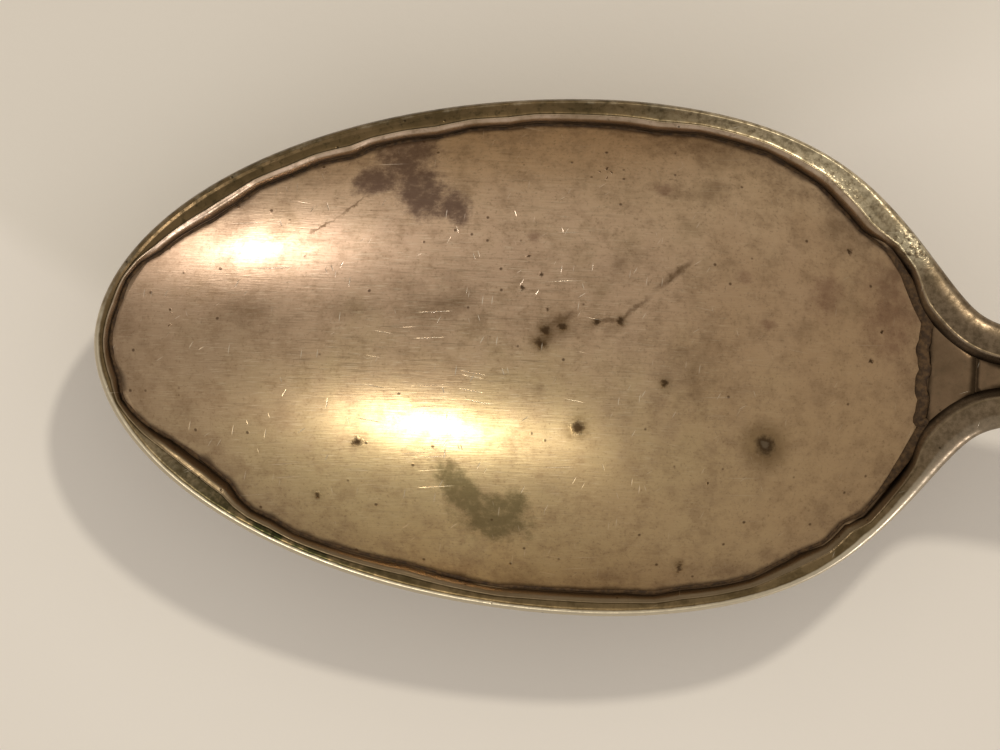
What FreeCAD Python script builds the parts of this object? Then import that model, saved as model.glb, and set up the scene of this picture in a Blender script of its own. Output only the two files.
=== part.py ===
import FreeCAD, Part
import math
import os

# A souvenir teaspoon lying on a table, face up. X runs along the spoon from the bowl's tip to the
# finial, Y across it, Z up. The origin is under the middle of the spoon, on the table.
# Stations are distances along X from the bowl's tip. All lengths are in millimetres.

# Overall
LENGTH = 148.0
BOWL_HALF_WIDTH = 15.42
BOWL_WIDEST = 30.0
BOWL_END = 50.0

# Bowl pan
PAN_DEEPEST = 27.0
PAN_INSET = 0.45
PAN_WALL = 0.75
PAN_FLOOR = 0.8
PAN_FACET = 0.13
PAN_PROFILE_POWER = 2.2
PAN_EDGE_DROP = 0.62
TIP_POWER = 0.525
HEEL_POWER = 2.6
HEEL_ROUNDING = 0.55
PAN_LEVELS = (1.0, 0.9, 0.78, 0.64, 0.48, 0.3, PAN_FACET)
PAN_SIDES = 48

# Rim moulding and the ribs that carry it on along the stem
RIM_END = 58.0
RIM_OUTER_DROP = 1.2
RIB_OUTER_DROP = 0.8
RIM_INNER_DROP = 0.6
RIM_FOOT_DROP = 0.95
CHANNEL_DROP = 0.75

# The section of the moulding: where its foot, side and inner slope run
FOOT_INSET = 0.12
FOOT_UNDERCUT = 0.15
SIDE_INSET = 0.04
SIDE_DEPTH = 0.42
SLOPE_PLACE = 0.55
SLOPE_DEPTH = 0.35

# Solder seam between the rim moulding and the pan, between two levels of the pan
SEAM_OUTER = 0.98
SEAM_INNER = 0.94
SEAM_HEIGHT = 0.3
SEAM_ROOT = 0.45

# Stem
CORE_START = 49.6
CORE_INSET = 0.1
CORE_SIDE = 0.45
STEM_END = 116.0

# Neck web and bowl heel
WEB_START = 49.3
WEB_END = 52.3
WEB_DROP = 0.45
WEB_ROOT = 0.25
WEB_START_HALF_WIDTH = 4.2
WEB_END_HALF_WIDTH = 1.6
HEEL_ROOT = 0.35

# The heel's sections: station, half width, and how far it stands out from the bowl's back
HEEL_SECTIONS = ((39.0, 0.5, 0.05), (41.0, 1.5, 0.35), (44.0, 2.4, 0.6), (47.0, 2.9, 0.8), (49.5, 3.0, 0.8))

# Terminal, a flat oval plate that slopes down to the table. Its own frame starts at the stem's end,
# with u along the handle, v across it and w out of its face, from the back.
TERMINAL_SLOPE = math.radians(17.0)
PLATE_THICKNESS = 1.3
BORDER_HEIGHT = 0.8
BORDER_WIDTH = 1.5
BORDER_SECTIONS = 18
FOOT_FLAT = 0.12

# Enamelled badge in the middle of the terminal
BADGE_CENTRE = 14.2
BADGE_RADIUS = 6.6
BEZEL_WALL = 0.7
BEZEL_HEIGHT = 1.25
DISC_THICKNESS = 0.5
ENAMEL_THICKNESS = 0.45
WIRE_WIDTH = 0.24
WIRE_HEIGHT = 0.5
SHORE = -1.7
SUN_RADIUS = 1.15
SUN_PLACE = (3.0, 1.9)
BADGE_REACH = 7.0

# Laurel sprays beside the badge
SPRAY_RADIUS = 7.7
SPRAY_HALF_ANGLE = math.radians(52.0)
SPRAY_HALF_WIDTH = 0.75
SPRAY_HEIGHT = 0.55

# Shell finial
SHELL_HINGE = 25.2
SHELL_HINGE_LENGTH = 1.2
SHELL_HALF_ANGLE = math.radians(70.0)
SHELL_HINGE_HALF_WIDTH = 1.3
SHELL_FLUTES = 7
SHELL_LOBE = 0.5
SHELL_THICKNESS = 2.3


def cubic(knots, start_slope=None, end_slope=None):
    """A cubic spline through (x, y) knots. An end with no slope given is a natural end."""
    xs = [knot[0] for knot in knots]
    ys = [knot[1] for knot in knots]
    last = len(knots) - 1
    steps = [xs[i + 1] - xs[i] for i in range(last)]
    rises = [(ys[i + 1] - ys[i]) / steps[i] for i in range(last)]
    lower = [0.0] * (last + 1)
    middle = [1.0] * (last + 1)
    upper = [0.0] * (last + 1)
    right = [0.0] * (last + 1)
    for i in range(1, last):
        lower[i] = steps[i - 1]
        middle[i] = 2.0 * (steps[i - 1] + steps[i])
        upper[i] = steps[i]
        right[i] = 6.0 * (rises[i] - rises[i - 1])
    if start_slope is not None:
        middle[0] = 2.0 * steps[0]
        upper[0] = steps[0]
        right[0] = 6.0 * (rises[0] - start_slope)
    if end_slope is not None:
        middle[last] = 2.0 * steps[-1]
        lower[last] = steps[-1]
        right[last] = 6.0 * (end_slope - rises[-1])
    for i in range(1, last + 1):
        factor = lower[i] / middle[i - 1]
        middle[i] -= factor * upper[i - 1]
        right[i] -= factor * right[i - 1]
    bends = [0.0] * (last + 1)
    bends[last] = right[last] / middle[last]
    for i in range(last - 1, -1, -1):
        bends[i] = (right[i] - upper[i] * bends[i + 1]) / middle[i]

    def value(x):
        i = 0
        while i < last - 1 and x > xs[i + 1]:
            i += 1
        a = (xs[i + 1] - x) / steps[i]
        b = (x - xs[i]) / steps[i]
        curve = (a ** 3 - a) * bends[i] + (b ** 3 - b) * bends[i + 1]
        return a * ys[i] + b * ys[i + 1] + curve * steps[i] ** 2 / 6.0

    return value


# Height of the rim's crest, and past the bowl of the ribs' crests, over the table
SIN = math.sin(TERMINAL_SLOPE)
COS = math.cos(TERMINAL_SLOPE)
TERMINAL_END = (LENGTH - STEM_END - (SHELL_THICKNESS - PLATE_THICKNESS) * SIN) / COS
STEM_END_CREST = CHANNEL_DROP + PLATE_THICKNESS * COS + TERMINAL_END * SIN - FOOT_FLAT
crest = cubic(
    [(0, 9.5), (14, 9.05), (30, 9.0), (42, 9.5), (50, 10.5), (56, 11.65),
     (68, 13.9), (84, 15.5), (100, 15.1), (STEM_END, STEM_END_CREST)],
    end_slope=-math.tan(TERMINAL_SLOPE))

# Half width over the outside, from the bowl's widest station to the end of the stem
shoulder = cubic(
    [(BOWL_WIDEST, BOWL_HALF_WIDTH), (36, 14.93), (42, 13.2), (45.5, 11.05), (49, 7.5),
     (51, 5.05), (52.3, 3.75), (54, 3.0), (58, 2.6), (66, 2.25), (80, 2.1), (95, 2.4),
     (108, 3.2), (STEM_END, 3.9)],
    start_slope=0.0)

# Width of the rim moulding, then of each rib
band = cubic([(0, 0.9), (6, 1.2), (14, 1.5), (30, 1.62), (42, 1.8), (47, 2.1), (50, 2.35),
              (54, 2.35), (58, 1.95), (80, 1.35), (STEM_END, BORDER_WIDTH)])

# Distance of the crest in from the outside edge
crest_inset = cubic([(0, 0.35), (30, 0.55), (44, 0.65), (50, 1.05), (54, 1.15), (58, 0.95),
                     (80, 0.68), (STEM_END, 0.75)])

# Thickness of the stem under the channel
core_depth = cubic([(49.6, 1.1), (52, 1.45), (58, 2.0), (80, 1.7), (STEM_END, PLATE_THICKNESS)])


def place(station, y, z):
    return FreeCAD.Vector(station - 0.5 * LENGTH, y, z)


def arc(start, middle, end):
    return Part.Arc(start, middle, end).toShape()


def line(start, end):
    return Part.LineSegment(start, end).toShape()


def loft(wires):
    return Part.makeLoft(wires, True, False)


# ---------------------------------------------------------------- bowl pan

def pan_edge(angle):
    """Station and side distance of the pan's outer edge. Angle 0 is the tip, pi the heel end."""
    half_width = BOWL_HALF_WIDTH - PAN_INSET
    side = math.sin(angle)
    if math.cos(angle) > 0.0:
        run = (BOWL_WIDEST - PAN_INSET) * math.cos(angle)
        y = abs(side) ** (2.0 * TIP_POWER)
        return BOWL_WIDEST - run, math.copysign(half_width * y, side)
    reach = abs(math.cos(angle)) ** (2.0 / HEEL_POWER)
    y = abs(side) ** (2.0 * HEEL_ROUNDING)
    return BOWL_WIDEST + (BOWL_END - BOWL_WIDEST) * reach, math.copysign(half_width * y, side)


def pan_rise(level):
    """How far up from floor to edge the pan is at a level, from the facet to 1 at the edge."""
    foot = PAN_FACET ** PAN_PROFILE_POWER
    return (level ** PAN_PROFILE_POWER - foot) / (1.0 - foot)


def pan_point(angle, level, wall, lift=0.0):
    """A point of the pan: wall 0 is its outer face, wall 1 its inner face."""
    station, y = pan_edge(angle)
    along = station - PAN_DEEPEST
    reach = math.hypot(along, y)
    shrink = 1.0 - wall * PAN_WALL / reach
    floor = wall * PAN_FLOOR
    edge = crest(station) - PAN_EDGE_DROP
    z = floor + (edge - floor) * pan_rise(level) + lift
    return place(PAN_DEEPEST + along * shrink * level, y * shrink * level, z)


def pan_ring(level, wall, lift=0.0):
    """A closed curve round the pan at one level."""
    points = []
    for i in range(PAN_SIDES):
        angle = 2.0 * math.pi * i / PAN_SIDES
        points.append(pan_point(angle, level, wall, lift))
    curve = Part.BSplineCurve()
    curve.interpolate(Points=points, PeriodicFlag=True)
    return Part.Wire(curve.toShape())


def closed_solid(faces):
    shell = Part.makeShell(faces)
    shell.sewShape()
    return Part.makeSolid(shell)


def skin(rings):
    return Part.makeLoft(rings, False, False).Faces


def bowl_pan():
    outer = [pan_ring(level, 0.0) for level in PAN_LEVELS]
    inner = [pan_ring(level, 1.0) for level in PAN_LEVELS]
    faces = skin(outer) + skin(inner)
    faces.append(Part.makeRuledSurface(outer[0].Edges[0], inner[0].Edges[0]))
    faces.append(Part.Face(outer[-1]))
    faces.append(Part.Face(inner[-1]))
    return closed_solid(faces)


def solder_bead():
    """The solder round the inner face: a low crown above a root that lies in a groove of the pan."""
    middle = 0.5 * (SEAM_OUTER + SEAM_INNER)
    outer = pan_ring(SEAM_OUTER, 1.0)
    inner = pan_ring(SEAM_INNER, 1.0)
    top = skin([outer, pan_ring(middle, 1.0, SEAM_HEIGHT), inner])
    bottom = skin([outer, pan_ring(middle, 1.0, -SEAM_ROOT), inner])
    return closed_solid(top + bottom)


def largest(shape):
    return max(shape.Solids, key=lambda solid: solid.Volume)


# ---------------------------------------------------------------- rim moulding and ribs

def outline(t):
    """The outside edge: t runs from 0 at the tip through 1 at the widest station to 2."""
    if t <= 1.0:
        angle = 0.5 * math.pi * t
        station = BOWL_WIDEST * (1.0 - math.cos(angle))
        return station, BOWL_HALF_WIDTH * max(math.sin(angle), 0.0) ** (2.0 * TIP_POWER)
    station = BOWL_WIDEST + (t - 1.0) * (RIM_END - BOWL_WIDEST)
    return station, shoulder(station)


def outward(t):
    """Unit vector that points out of the outline, level with the table."""
    if t <= 0.0:
        return FreeCAD.Vector(-1, 0, 0)
    nudge = 0.002
    before = outline(t - nudge)
    after = outline(min(t + nudge, 2.0))
    normal = FreeCAD.Vector(before[1] - after[1], after[0] - before[0], 0)
    return normal.normalize()


def rib_section(station, y, normal, drop):
    """The moulding's section: a half round over a narrow foot."""
    origin = place(station, y, crest(station))
    width = band(station)
    top = crest_inset(station)

    def at(inset, depth):
        return origin - normal * inset - FreeCAD.Vector(0, 0, depth)

    foot_out = at(FOOT_INSET, drop)
    out = at(SIDE_INSET, SIDE_DEPTH * drop)
    ridge = at(top, 0.0)
    slope = at(SLOPE_PLACE * (top + width), SLOPE_DEPTH * RIM_INNER_DROP)
    lip = at(width, RIM_INNER_DROP)
    foot_in = at(width - FOOT_UNDERCUT, min(drop, RIM_FOOT_DROP))
    edges = [arc(foot_out, out, ridge), arc(ridge, slope, lip), line(lip, foot_in), line(foot_in, foot_out)]
    return Part.Wire(edges)


def outer_drop(station):
    blend = min(max((station - 49.0) / 4.0, 0.0), 1.0)
    return RIM_OUTER_DROP + (RIB_OUTER_DROP - RIM_OUTER_DROP) * blend


def half_rim():
    ts = [i / 10.0 for i in range(11)]
    ts += [1.0 + (s - BOWL_WIDEST) / (RIM_END - BOWL_WIDEST)
           for s in (33, 36, 39, 42, 44.5, 46.5, 48.3, 49.7, 51, 52.2, 53.4, 55, RIM_END)]
    wires = []
    for t in ts:
        station, y = outline(t)
        normal = outward(t) if station < RIM_END else FreeCAD.Vector(0, 1, 0)
        wires.append(rib_section(station, y, normal, outer_drop(station)))
    return loft(wires)


def mirrored(shape):
    return shape.mirror(FreeCAD.Vector(0, 0, 0), FreeCAD.Vector(0, 1, 0))


def bowl_rim(pan, core):
    half = half_rim()
    whole = half.fuse(mirrored(half))
    return whole.cut(pan).cut(core)


def stem_rib(side, core):
    wires = []
    for station in (RIM_END, 64, 72, 80, 90, 100, 108, STEM_END):
        normal = FreeCAD.Vector(0, 1, 0)
        wires.append(rib_section(station, shoulder(station), normal, RIB_OUTER_DROP))
    rib = loft(wires).cut(core)
    return rib if side > 0 else mirrored(rib)


# ---------------------------------------------------------------- stem

def core_section(station):
    """A strip with a flat top, short upright sides and a rounded back."""
    half = shoulder(station) - CORE_INSET
    top = crest(station) - CHANNEL_DROP
    depth = core_depth(station)
    left = place(station, half, top)
    right = place(station, -half, top)
    left_side = place(station, half, top - CORE_SIDE)
    right_side = place(station, -half, top - CORE_SIDE)
    back = place(station, 0, top - depth)
    edges = [line(right, left), line(left, left_side), arc(left_side, back, right_side),
             line(right_side, right)]
    return Part.Wire(edges)


def stem_core(pan):
    stations = (CORE_START, 50.6, 51.6, 52.6, 54, 58, 66, 76, 88, 100, 108, STEM_END)
    return loft([core_section(station) for station in stations]).cut(pan)


def neck_web(pan, rim, core):
    """The sunken three-cornered plate between the two ribs."""
    edge = [(WEB_START, WEB_START_HALF_WIDTH), (WEB_END, WEB_END_HALF_WIDTH)]
    top = [place(s, y, crest(s) - WEB_DROP) for s, y in edge]
    top += [place(s, -y, crest(s) - WEB_DROP) for s, y in reversed(edge)]
    face = Part.Face(Part.makePolygon(top + top[:1]))
    plate = face.extrude(FreeCAD.Vector(0, 0, WEB_DROP - CHANNEL_DROP - WEB_ROOT))
    return plate.cut(pan).cut(rim).cut(core)


def heel_section(station, half, bottom, top):
    left = place(station, half, top)
    right = place(station, -half, top)
    return Part.Wire([line(right, left), arc(left, place(station, 0, bottom), right)])


def bowl_heel(pan, core, web):
    """The drop: a tapering tongue on the bowl's back, where the stem laps onto it."""
    wires = []
    for station, half, proud in HEEL_SECTIONS:
        level = (station - PAN_DEEPEST) / (BOWL_END - PAN_DEEPEST)
        underside = pan_point(math.pi, level, 0.0).z
        wires.append(heel_section(station, half, underside - proud, underside + HEEL_ROOT))
    return loft(wires).cut(pan).cut(core).cut(web)


# ---------------------------------------------------------------- terminal

def set_on_handle(shape):
    """Moves a shape from the terminal's own flat frame to its place on the handle."""
    face = place(STEM_END, 0, crest(STEM_END) - CHANNEL_DROP)
    back = face - FreeCAD.Vector(SIN, 0, COS) * PLATE_THICKNESS
    moved = shape.copy()
    moved.rotate(FreeCAD.Vector(0, 0, 0), FreeCAD.Vector(0, 1, 0), math.degrees(TERMINAL_SLOPE))
    moved.translate(back)
    return moved


def prism(wire, low, high):
    face = Part.Face(wire)
    face.translate(FreeCAD.Vector(0, 0, low))
    return face.extrude(FreeCAD.Vector(0, 0, high - low))


def disc(centre_u, centre_v, radius, low, high):
    base = FreeCAD.Vector(centre_u, centre_v, low)
    return Part.makeCylinder(radius, high - low, base)


def plate_curve():
    """The oval's edge from one corner of the stem's end, round the far end, to the other."""
    side = [(0, 3.9), (2.5, 4.7), (5.2, 6.9), (8.8, 9.2), (13.2, 10.3), (18, 10.0), (22.6, 8.3),
            (26.2, 5.6), (28.3, 2.7)]
    points = [FreeCAD.Vector(u, v, 0) for u, v in side]
    points.append(FreeCAD.Vector(28.9, 0, 0))
    points += [FreeCAD.Vector(u, -v, 0) for u, v in reversed(side)]
    curve = Part.BSplineCurve()
    curve.interpolate(Points=points)
    return curve


def terminal_plate():
    curve = plate_curve()
    edge = curve.toShape()
    closing = line(curve.EndPoint, curve.StartPoint)
    return prism(Part.Wire([edge, closing]), 0.0, PLATE_THICKNESS)


def border_section(curve, parameter):
    point = curve.value(parameter)
    tangent = curve.tangent(parameter)[0]
    inward = FreeCAD.Vector(tangent.y, -tangent.x, 0)
    up = FreeCAD.Vector(0, 0, 1)
    foot = point + up * PLATE_THICKNESS
    ridge = foot + inward * (0.5 * BORDER_WIDTH) + up * BORDER_HEIGHT
    far_foot = foot + inward * BORDER_WIDTH
    return Part.Wire([arc(foot, ridge, far_foot), line(far_foot, foot)])


def terminal_border(side, shell):
    """The strip along one side of the oval, from the stem to the shell."""
    curve = plate_curve()
    middle = 0.5 * (curve.FirstParameter + curve.LastParameter)
    wires = []
    for i in range(BORDER_SECTIONS + 1):
        parameter = curve.FirstParameter + (middle - curve.FirstParameter) * i / BORDER_SECTIONS
        wires.append(border_section(curve, parameter))
    strip = loft(wires)
    if side < 0:
        strip = mirrored(strip)
    return largest(strip.cut(shell))


def shell_rim():
    """The scalloped edge of the shell, one arc to each flute."""
    step = 2.0 * SHELL_HALF_ANGLE / SHELL_FLUTES
    radius = TERMINAL_END - SHELL_HINGE - SHELL_LOBE

    def at(angle, reach):
        return FreeCAD.Vector(SHELL_HINGE + reach * math.cos(angle), reach * math.sin(angle), 0)

    edges = []
    for i in range(SHELL_FLUTES):
        start = -SHELL_HALF_ANGLE + i * step
        edges.append(arc(at(start, radius), at(start + 0.5 * step, radius + SHELL_LOBE),
                         at(start + step, radius)))
    return edges


def shell_finial(plate):
    rim = shell_rim()
    right = rim[0].Vertexes[0].Point
    left = rim[-1].Vertexes[-1].Point
    hinge_left = FreeCAD.Vector(SHELL_HINGE - SHELL_HINGE_LENGTH, SHELL_HINGE_HALF_WIDTH, 0)
    hinge_right = FreeCAD.Vector(SHELL_HINGE - SHELL_HINGE_LENGTH, -SHELL_HINGE_HALF_WIDTH, 0)
    edges = rim + [line(left, hinge_left), line(hinge_left, hinge_right), line(hinge_right, right)]
    return prism(Part.Wire(edges), 0.0, SHELL_THICKNESS).cut(plate)


def laurel_spray(side):
    """A crescent that hugs the badge, pointed at both ends."""
    def at(angle, reach):
        return FreeCAD.Vector(BADGE_CENTRE + reach * math.sin(angle), side * reach * math.cos(angle), 0)

    start = at(-SPRAY_HALF_ANGLE, SPRAY_RADIUS)
    end = at(SPRAY_HALF_ANGLE, SPRAY_RADIUS)
    outer = arc(start, at(0, SPRAY_RADIUS + SPRAY_HALF_WIDTH), end)
    inner = arc(end, at(0, SPRAY_RADIUS - SPRAY_HALF_WIDTH), start)
    return prism(Part.Wire([outer, inner]), PLATE_THICKNESS, PLATE_THICKNESS + SPRAY_HEIGHT)


# ---------------------------------------------------------------- badge

def badge_bezel():
    top = PLATE_THICKNESS + BEZEL_HEIGHT
    outer = disc(BADGE_CENTRE, 0, BADGE_RADIUS, PLATE_THICKNESS, top)
    return outer.cut(disc(BADGE_CENTRE, 0, BADGE_RADIUS - BEZEL_WALL, PLATE_THICKNESS, top))


def badge_disc():
    return disc(BADGE_CENTRE, 0, BADGE_RADIUS - BEZEL_WALL, PLATE_THICKNESS,
                PLATE_THICKNESS + DISC_THICKNESS)


def ridge_line(shift):
    """The hills' skyline, right across the badge."""
    points = [(-0.2, -BADGE_REACH), (0.9, -4.6), (1.5, -3.0), (0.2, -0.8), (0.7, 1.2), (-0.1, 3.4),
              (-0.6, BADGE_REACH)]
    curve = Part.BSplineCurve()
    curve.interpolate(Points=[FreeCAD.Vector(BADGE_CENTRE + u + shift, v, 0) for u, v in points])
    return curve


def between(low, high, height):
    """A prism over the strip between two curves that cross the badge."""
    edges = [low.toShape(), line(low.EndPoint, high.EndPoint), high.toShape(),
             line(high.StartPoint, low.StartPoint)]
    bottom = PLATE_THICKNESS + DISC_THICKNESS
    return prism(Part.Wire(Part.__sortEdges__(edges)), bottom, bottom + height)


def across(u):
    start = FreeCAD.Vector(BADGE_CENTRE + u, -BADGE_REACH, 0)
    return Part.LineSegment(start, FreeCAD.Vector(BADGE_CENTRE + u, BADGE_REACH, 0))


def badge_fields():
    """The wires and the enamel fields that they divide."""
    base = PLATE_THICKNESS + DISC_THICKNESS
    radius = BADGE_RADIUS - BEZEL_WALL
    half_wire = 0.5 * WIRE_WIDTH
    sun_u = BADGE_CENTRE + SUN_PLACE[0]
    enamel = disc(BADGE_CENTRE, 0, radius, base, base + ENAMEL_THICKNESS)
    ground = disc(BADGE_CENTRE, 0, radius, base, base + WIRE_HEIGHT)
    shore_wire = between(across(SHORE - half_wire), across(SHORE + half_wire), WIRE_HEIGHT).common(ground)
    hill_wire = between(ridge_line(-half_wire), ridge_line(half_wire), WIRE_HEIGHT).common(ground)
    sun_ring = disc(sun_u, SUN_PLACE[1], SUN_RADIUS + WIRE_WIDTH, base, base + WIRE_HEIGHT)
    sun_wire = sun_ring.cut(disc(sun_u, SUN_PLACE[1], SUN_RADIUS, base, base + WIRE_HEIGHT))
    water = between(across(-BADGE_REACH), across(SHORE - half_wire), ENAMEL_THICKNESS).common(enamel)
    hills = between(across(SHORE + half_wire), ridge_line(-half_wire), ENAMEL_THICKNESS).common(enamel)
    sky = between(ridge_line(half_wire), across(BADGE_REACH), ENAMEL_THICKNESS).common(enamel).cut(sun_ring)
    return {
        "badge_wires": Part.makeCompound([shore_wire, hill_wire, sun_wire]),
        "enamel_lake": water,
        "enamel_hills": hills,
        "enamel_sky": sky,
        "enamel_sun": disc(sun_u, SUN_PLACE[1], SUN_RADIUS, base, base + ENAMEL_THICKNESS),
    }


def over_table(shape):
    """Cuts off what would reach below the table."""
    depth = SHELL_THICKNESS
    below = Part.makeBox(2.0 * LENGTH, LENGTH, depth, FreeCAD.Vector(-LENGTH, -0.5 * LENGTH, -depth))
    return shape.cut(below)


def terminal(core):
    plate = terminal_plate()
    shell = shell_finial(plate)
    nodes = {
        "terminal_plate": plate,
        "shell_finial": shell,
        "terminal_border_left": terminal_border(1, shell),
        "terminal_border_right": terminal_border(-1, shell),
        "laurel_spray_left": laurel_spray(1),
        "laurel_spray_right": laurel_spray(-1),
        "badge_bezel": badge_bezel(),
        "badge_disc": badge_disc(),
    }
    nodes.update(badge_fields())
    nodes = {name: set_on_handle(shape) for name, shape in nodes.items()}
    nodes["terminal_plate"] = nodes["terminal_plate"].cut(core)
    nodes["shell_finial"] = over_table(nodes["shell_finial"])
    return nodes


def main():
    os.makedirs("parts", exist_ok=True)
    pan = bowl_pan()
    core = stem_core(pan)
    rim = bowl_rim(pan, core)
    web = neck_web(pan, rim, core)
    bead = solder_bead()
    nodes = {
        "bowl_pan": pan.cut(bead),
        "stem_core": core,
        "bowl_rim": rim,
        "rim_solder_seam": largest(bead.cut(rim)),
        "neck_web": web,
        "bowl_heel": bowl_heel(pan, core, web),
        "stem_rib_left": stem_rib(1, core),
        "stem_rib_right": stem_rib(-1, core),
    }
    nodes.update(terminal(core))
    for name, shape in nodes.items():
        print(name, shape.isValid(), len(shape.Solids), round(shape.Volume, 3))
        shape.exportStep("parts/" + name + ".step")


main()
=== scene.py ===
import math

import bmesh
import bpy
import numpy as np
from mathutils import Matrix, Vector, noise


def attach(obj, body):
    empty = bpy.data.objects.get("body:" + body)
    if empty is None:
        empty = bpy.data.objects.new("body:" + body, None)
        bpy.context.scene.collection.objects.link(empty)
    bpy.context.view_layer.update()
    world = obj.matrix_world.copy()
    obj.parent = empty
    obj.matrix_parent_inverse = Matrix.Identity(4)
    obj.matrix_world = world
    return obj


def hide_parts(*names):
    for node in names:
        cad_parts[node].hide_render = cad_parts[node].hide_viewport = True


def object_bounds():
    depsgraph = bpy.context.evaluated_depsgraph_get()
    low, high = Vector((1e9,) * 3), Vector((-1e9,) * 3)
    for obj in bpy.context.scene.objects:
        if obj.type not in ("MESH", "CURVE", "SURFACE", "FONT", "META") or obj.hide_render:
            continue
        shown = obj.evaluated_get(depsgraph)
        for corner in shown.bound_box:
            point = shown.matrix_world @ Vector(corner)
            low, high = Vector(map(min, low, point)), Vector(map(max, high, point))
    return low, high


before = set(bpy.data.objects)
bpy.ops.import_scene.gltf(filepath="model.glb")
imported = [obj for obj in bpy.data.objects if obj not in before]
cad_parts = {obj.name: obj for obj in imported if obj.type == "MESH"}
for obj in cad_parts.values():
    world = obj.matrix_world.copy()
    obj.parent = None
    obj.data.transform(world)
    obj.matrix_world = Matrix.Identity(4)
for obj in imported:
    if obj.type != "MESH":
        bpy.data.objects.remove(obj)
cad_low, cad_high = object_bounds()

# Lengths are in millimetres until a mesh is made. A station is the distance from the bowl's tip.
MM = 0.001
LENGTH = (cad_high.x - cad_low.x) / MM
TIP_X = cad_low.x / MM

# ---------------------------------------------------------------- the spoon's curves


def cubic(knots, start_slope=None, end_slope=None):
    """A cubic spline through (x, y) knots. An end with no slope given is a natural end."""
    xs, ys = np.array(knots, float).T
    count = len(knots)
    steps = np.diff(xs)
    rises = np.diff(ys) / steps
    system = np.eye(count)
    right = np.zeros(count)
    for i in range(1, count - 1):
        system[i, i - 1:i + 2] = steps[i - 1], 2.0 * (steps[i - 1] + steps[i]), steps[i]
        right[i] = 6.0 * (rises[i] - rises[i - 1])
    if start_slope is not None:
        system[0, :2] = 2.0 * steps[0], steps[0]
        right[0] = 6.0 * (rises[0] - start_slope)
    if end_slope is not None:
        system[-1, -2:] = steps[-1], 2.0 * steps[-1]
        right[-1] = 6.0 * (end_slope - rises[-1])
    bends = np.linalg.solve(system, right)

    def value(x):
        x = np.asarray(x, float)
        i = np.clip(np.searchsorted(xs, x) - 1, 0, count - 2)
        a = (xs[i + 1] - x) / steps[i]
        b = (x - xs[i]) / steps[i]
        curve = (a ** 3 - a) * bends[i] + (b ** 3 - b) * bends[i + 1]
        return a * ys[i] + b * ys[i + 1] + curve * steps[i] ** 2 / 6.0

    return value


BOWL_HALF_WIDTH = 15.42
BOWL_WIDEST = 30.0
BOWL_END = 50.0
RIM_END = 58.0
STEM_END = 116.0
CHANNEL_DROP = 0.75

TERMINAL_SLOPE = math.radians(17.0)
SIN = math.sin(TERMINAL_SLOPE)
COS = math.cos(TERMINAL_SLOPE)
PLATE_THICKNESS = 1.3
SHELL_THICKNESS = 2.3
FOOT_FLAT = 0.12
TERMINAL_END = (LENGTH - STEM_END - (SHELL_THICKNESS - PLATE_THICKNESS) * SIN) / COS
STEM_END_CREST = CHANNEL_DROP + PLATE_THICKNESS * COS + TERMINAL_END * SIN - FOOT_FLAT

crest = cubic(
    [(0, 9.5), (14, 9.05), (30, 9.0), (42, 9.5), (50, 10.5), (56, 11.65),
     (68, 13.9), (84, 15.5), (100, 15.1), (STEM_END, STEM_END_CREST)],
    end_slope=-math.tan(TERMINAL_SLOPE))
shoulder = cubic(
    [(BOWL_WIDEST, BOWL_HALF_WIDTH), (36, 14.93), (42, 13.2), (45.5, 11.05), (49, 7.5),
     (51, 5.05), (52.3, 3.75), (54, 3.0), (58, 2.6), (66, 2.25), (80, 2.1), (95, 2.4),
     (108, 3.2), (STEM_END, 3.9)],
    start_slope=0.0)
band = cubic([(0, 0.9), (6, 1.2), (14, 1.5), (30, 1.62), (42, 1.8), (47, 2.1), (50, 2.35),
              (54, 2.35), (58, 1.95), (80, 1.35), (STEM_END, 1.5)])
core_depth = cubic([(49.6, 1.1), (52, 1.45), (58, 2.0), (80, 1.7), (STEM_END, PLATE_THICKNESS)])

# The bowl pan, as the CAD has it
PAN_DEEPEST = 27.0
PAN_INSET = 0.45
PAN_WALL = 0.75
PAN_FLOOR = 0.8
PAN_FACET = 0.13
PAN_PROFILE_POWER = 2.2
PAN_EDGE_DROP = 0.62
TIP_POWER = 0.525
HEEL_POWER = 2.6
HEEL_ROUNDING = 0.55


def pan_edge(angle):
    """Stations and side distances of the pan's outer edge. Angle 0 is the tip, pi the heel end."""
    angle = np.asarray(angle, float)
    side = np.sin(angle)
    turn = np.cos(angle)
    tip = BOWL_WIDEST - (BOWL_WIDEST - PAN_INSET) * turn
    heel = BOWL_WIDEST + (BOWL_END - BOWL_WIDEST) * np.abs(turn) ** (2.0 / HEEL_POWER)
    power = np.where(turn > 0, 2.0 * TIP_POWER, 2.0 * HEEL_ROUNDING)
    y = (BOWL_HALF_WIDTH - PAN_INSET) * np.sign(side) * np.abs(side) ** power
    return np.where(turn > 0, tip, heel), y


def pan_rise(level, wall):
    """How far up the pan is at a level. Only the outer face has the flat foot that it rests on."""
    foot = (1.0 - wall) * PAN_FACET ** PAN_PROFILE_POWER
    return np.maximum((np.asarray(level) ** PAN_PROFILE_POWER - foot) / (1.0 - foot), 0.0)


def pan_points(angle, level, wall):
    """Points of the pan: wall 0 is its outer face, wall 1 its inner face."""
    station, y = pan_edge(angle)
    along = station - PAN_DEEPEST
    shrink = 1.0 - wall * PAN_WALL / np.hypot(along, y)
    floor = wall * PAN_FLOOR
    z = floor + (crest(station) - PAN_EDGE_DROP - floor) * pan_rise(level, wall)
    return PAN_DEEPEST + along * shrink * level, y * shrink * level, z


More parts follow.
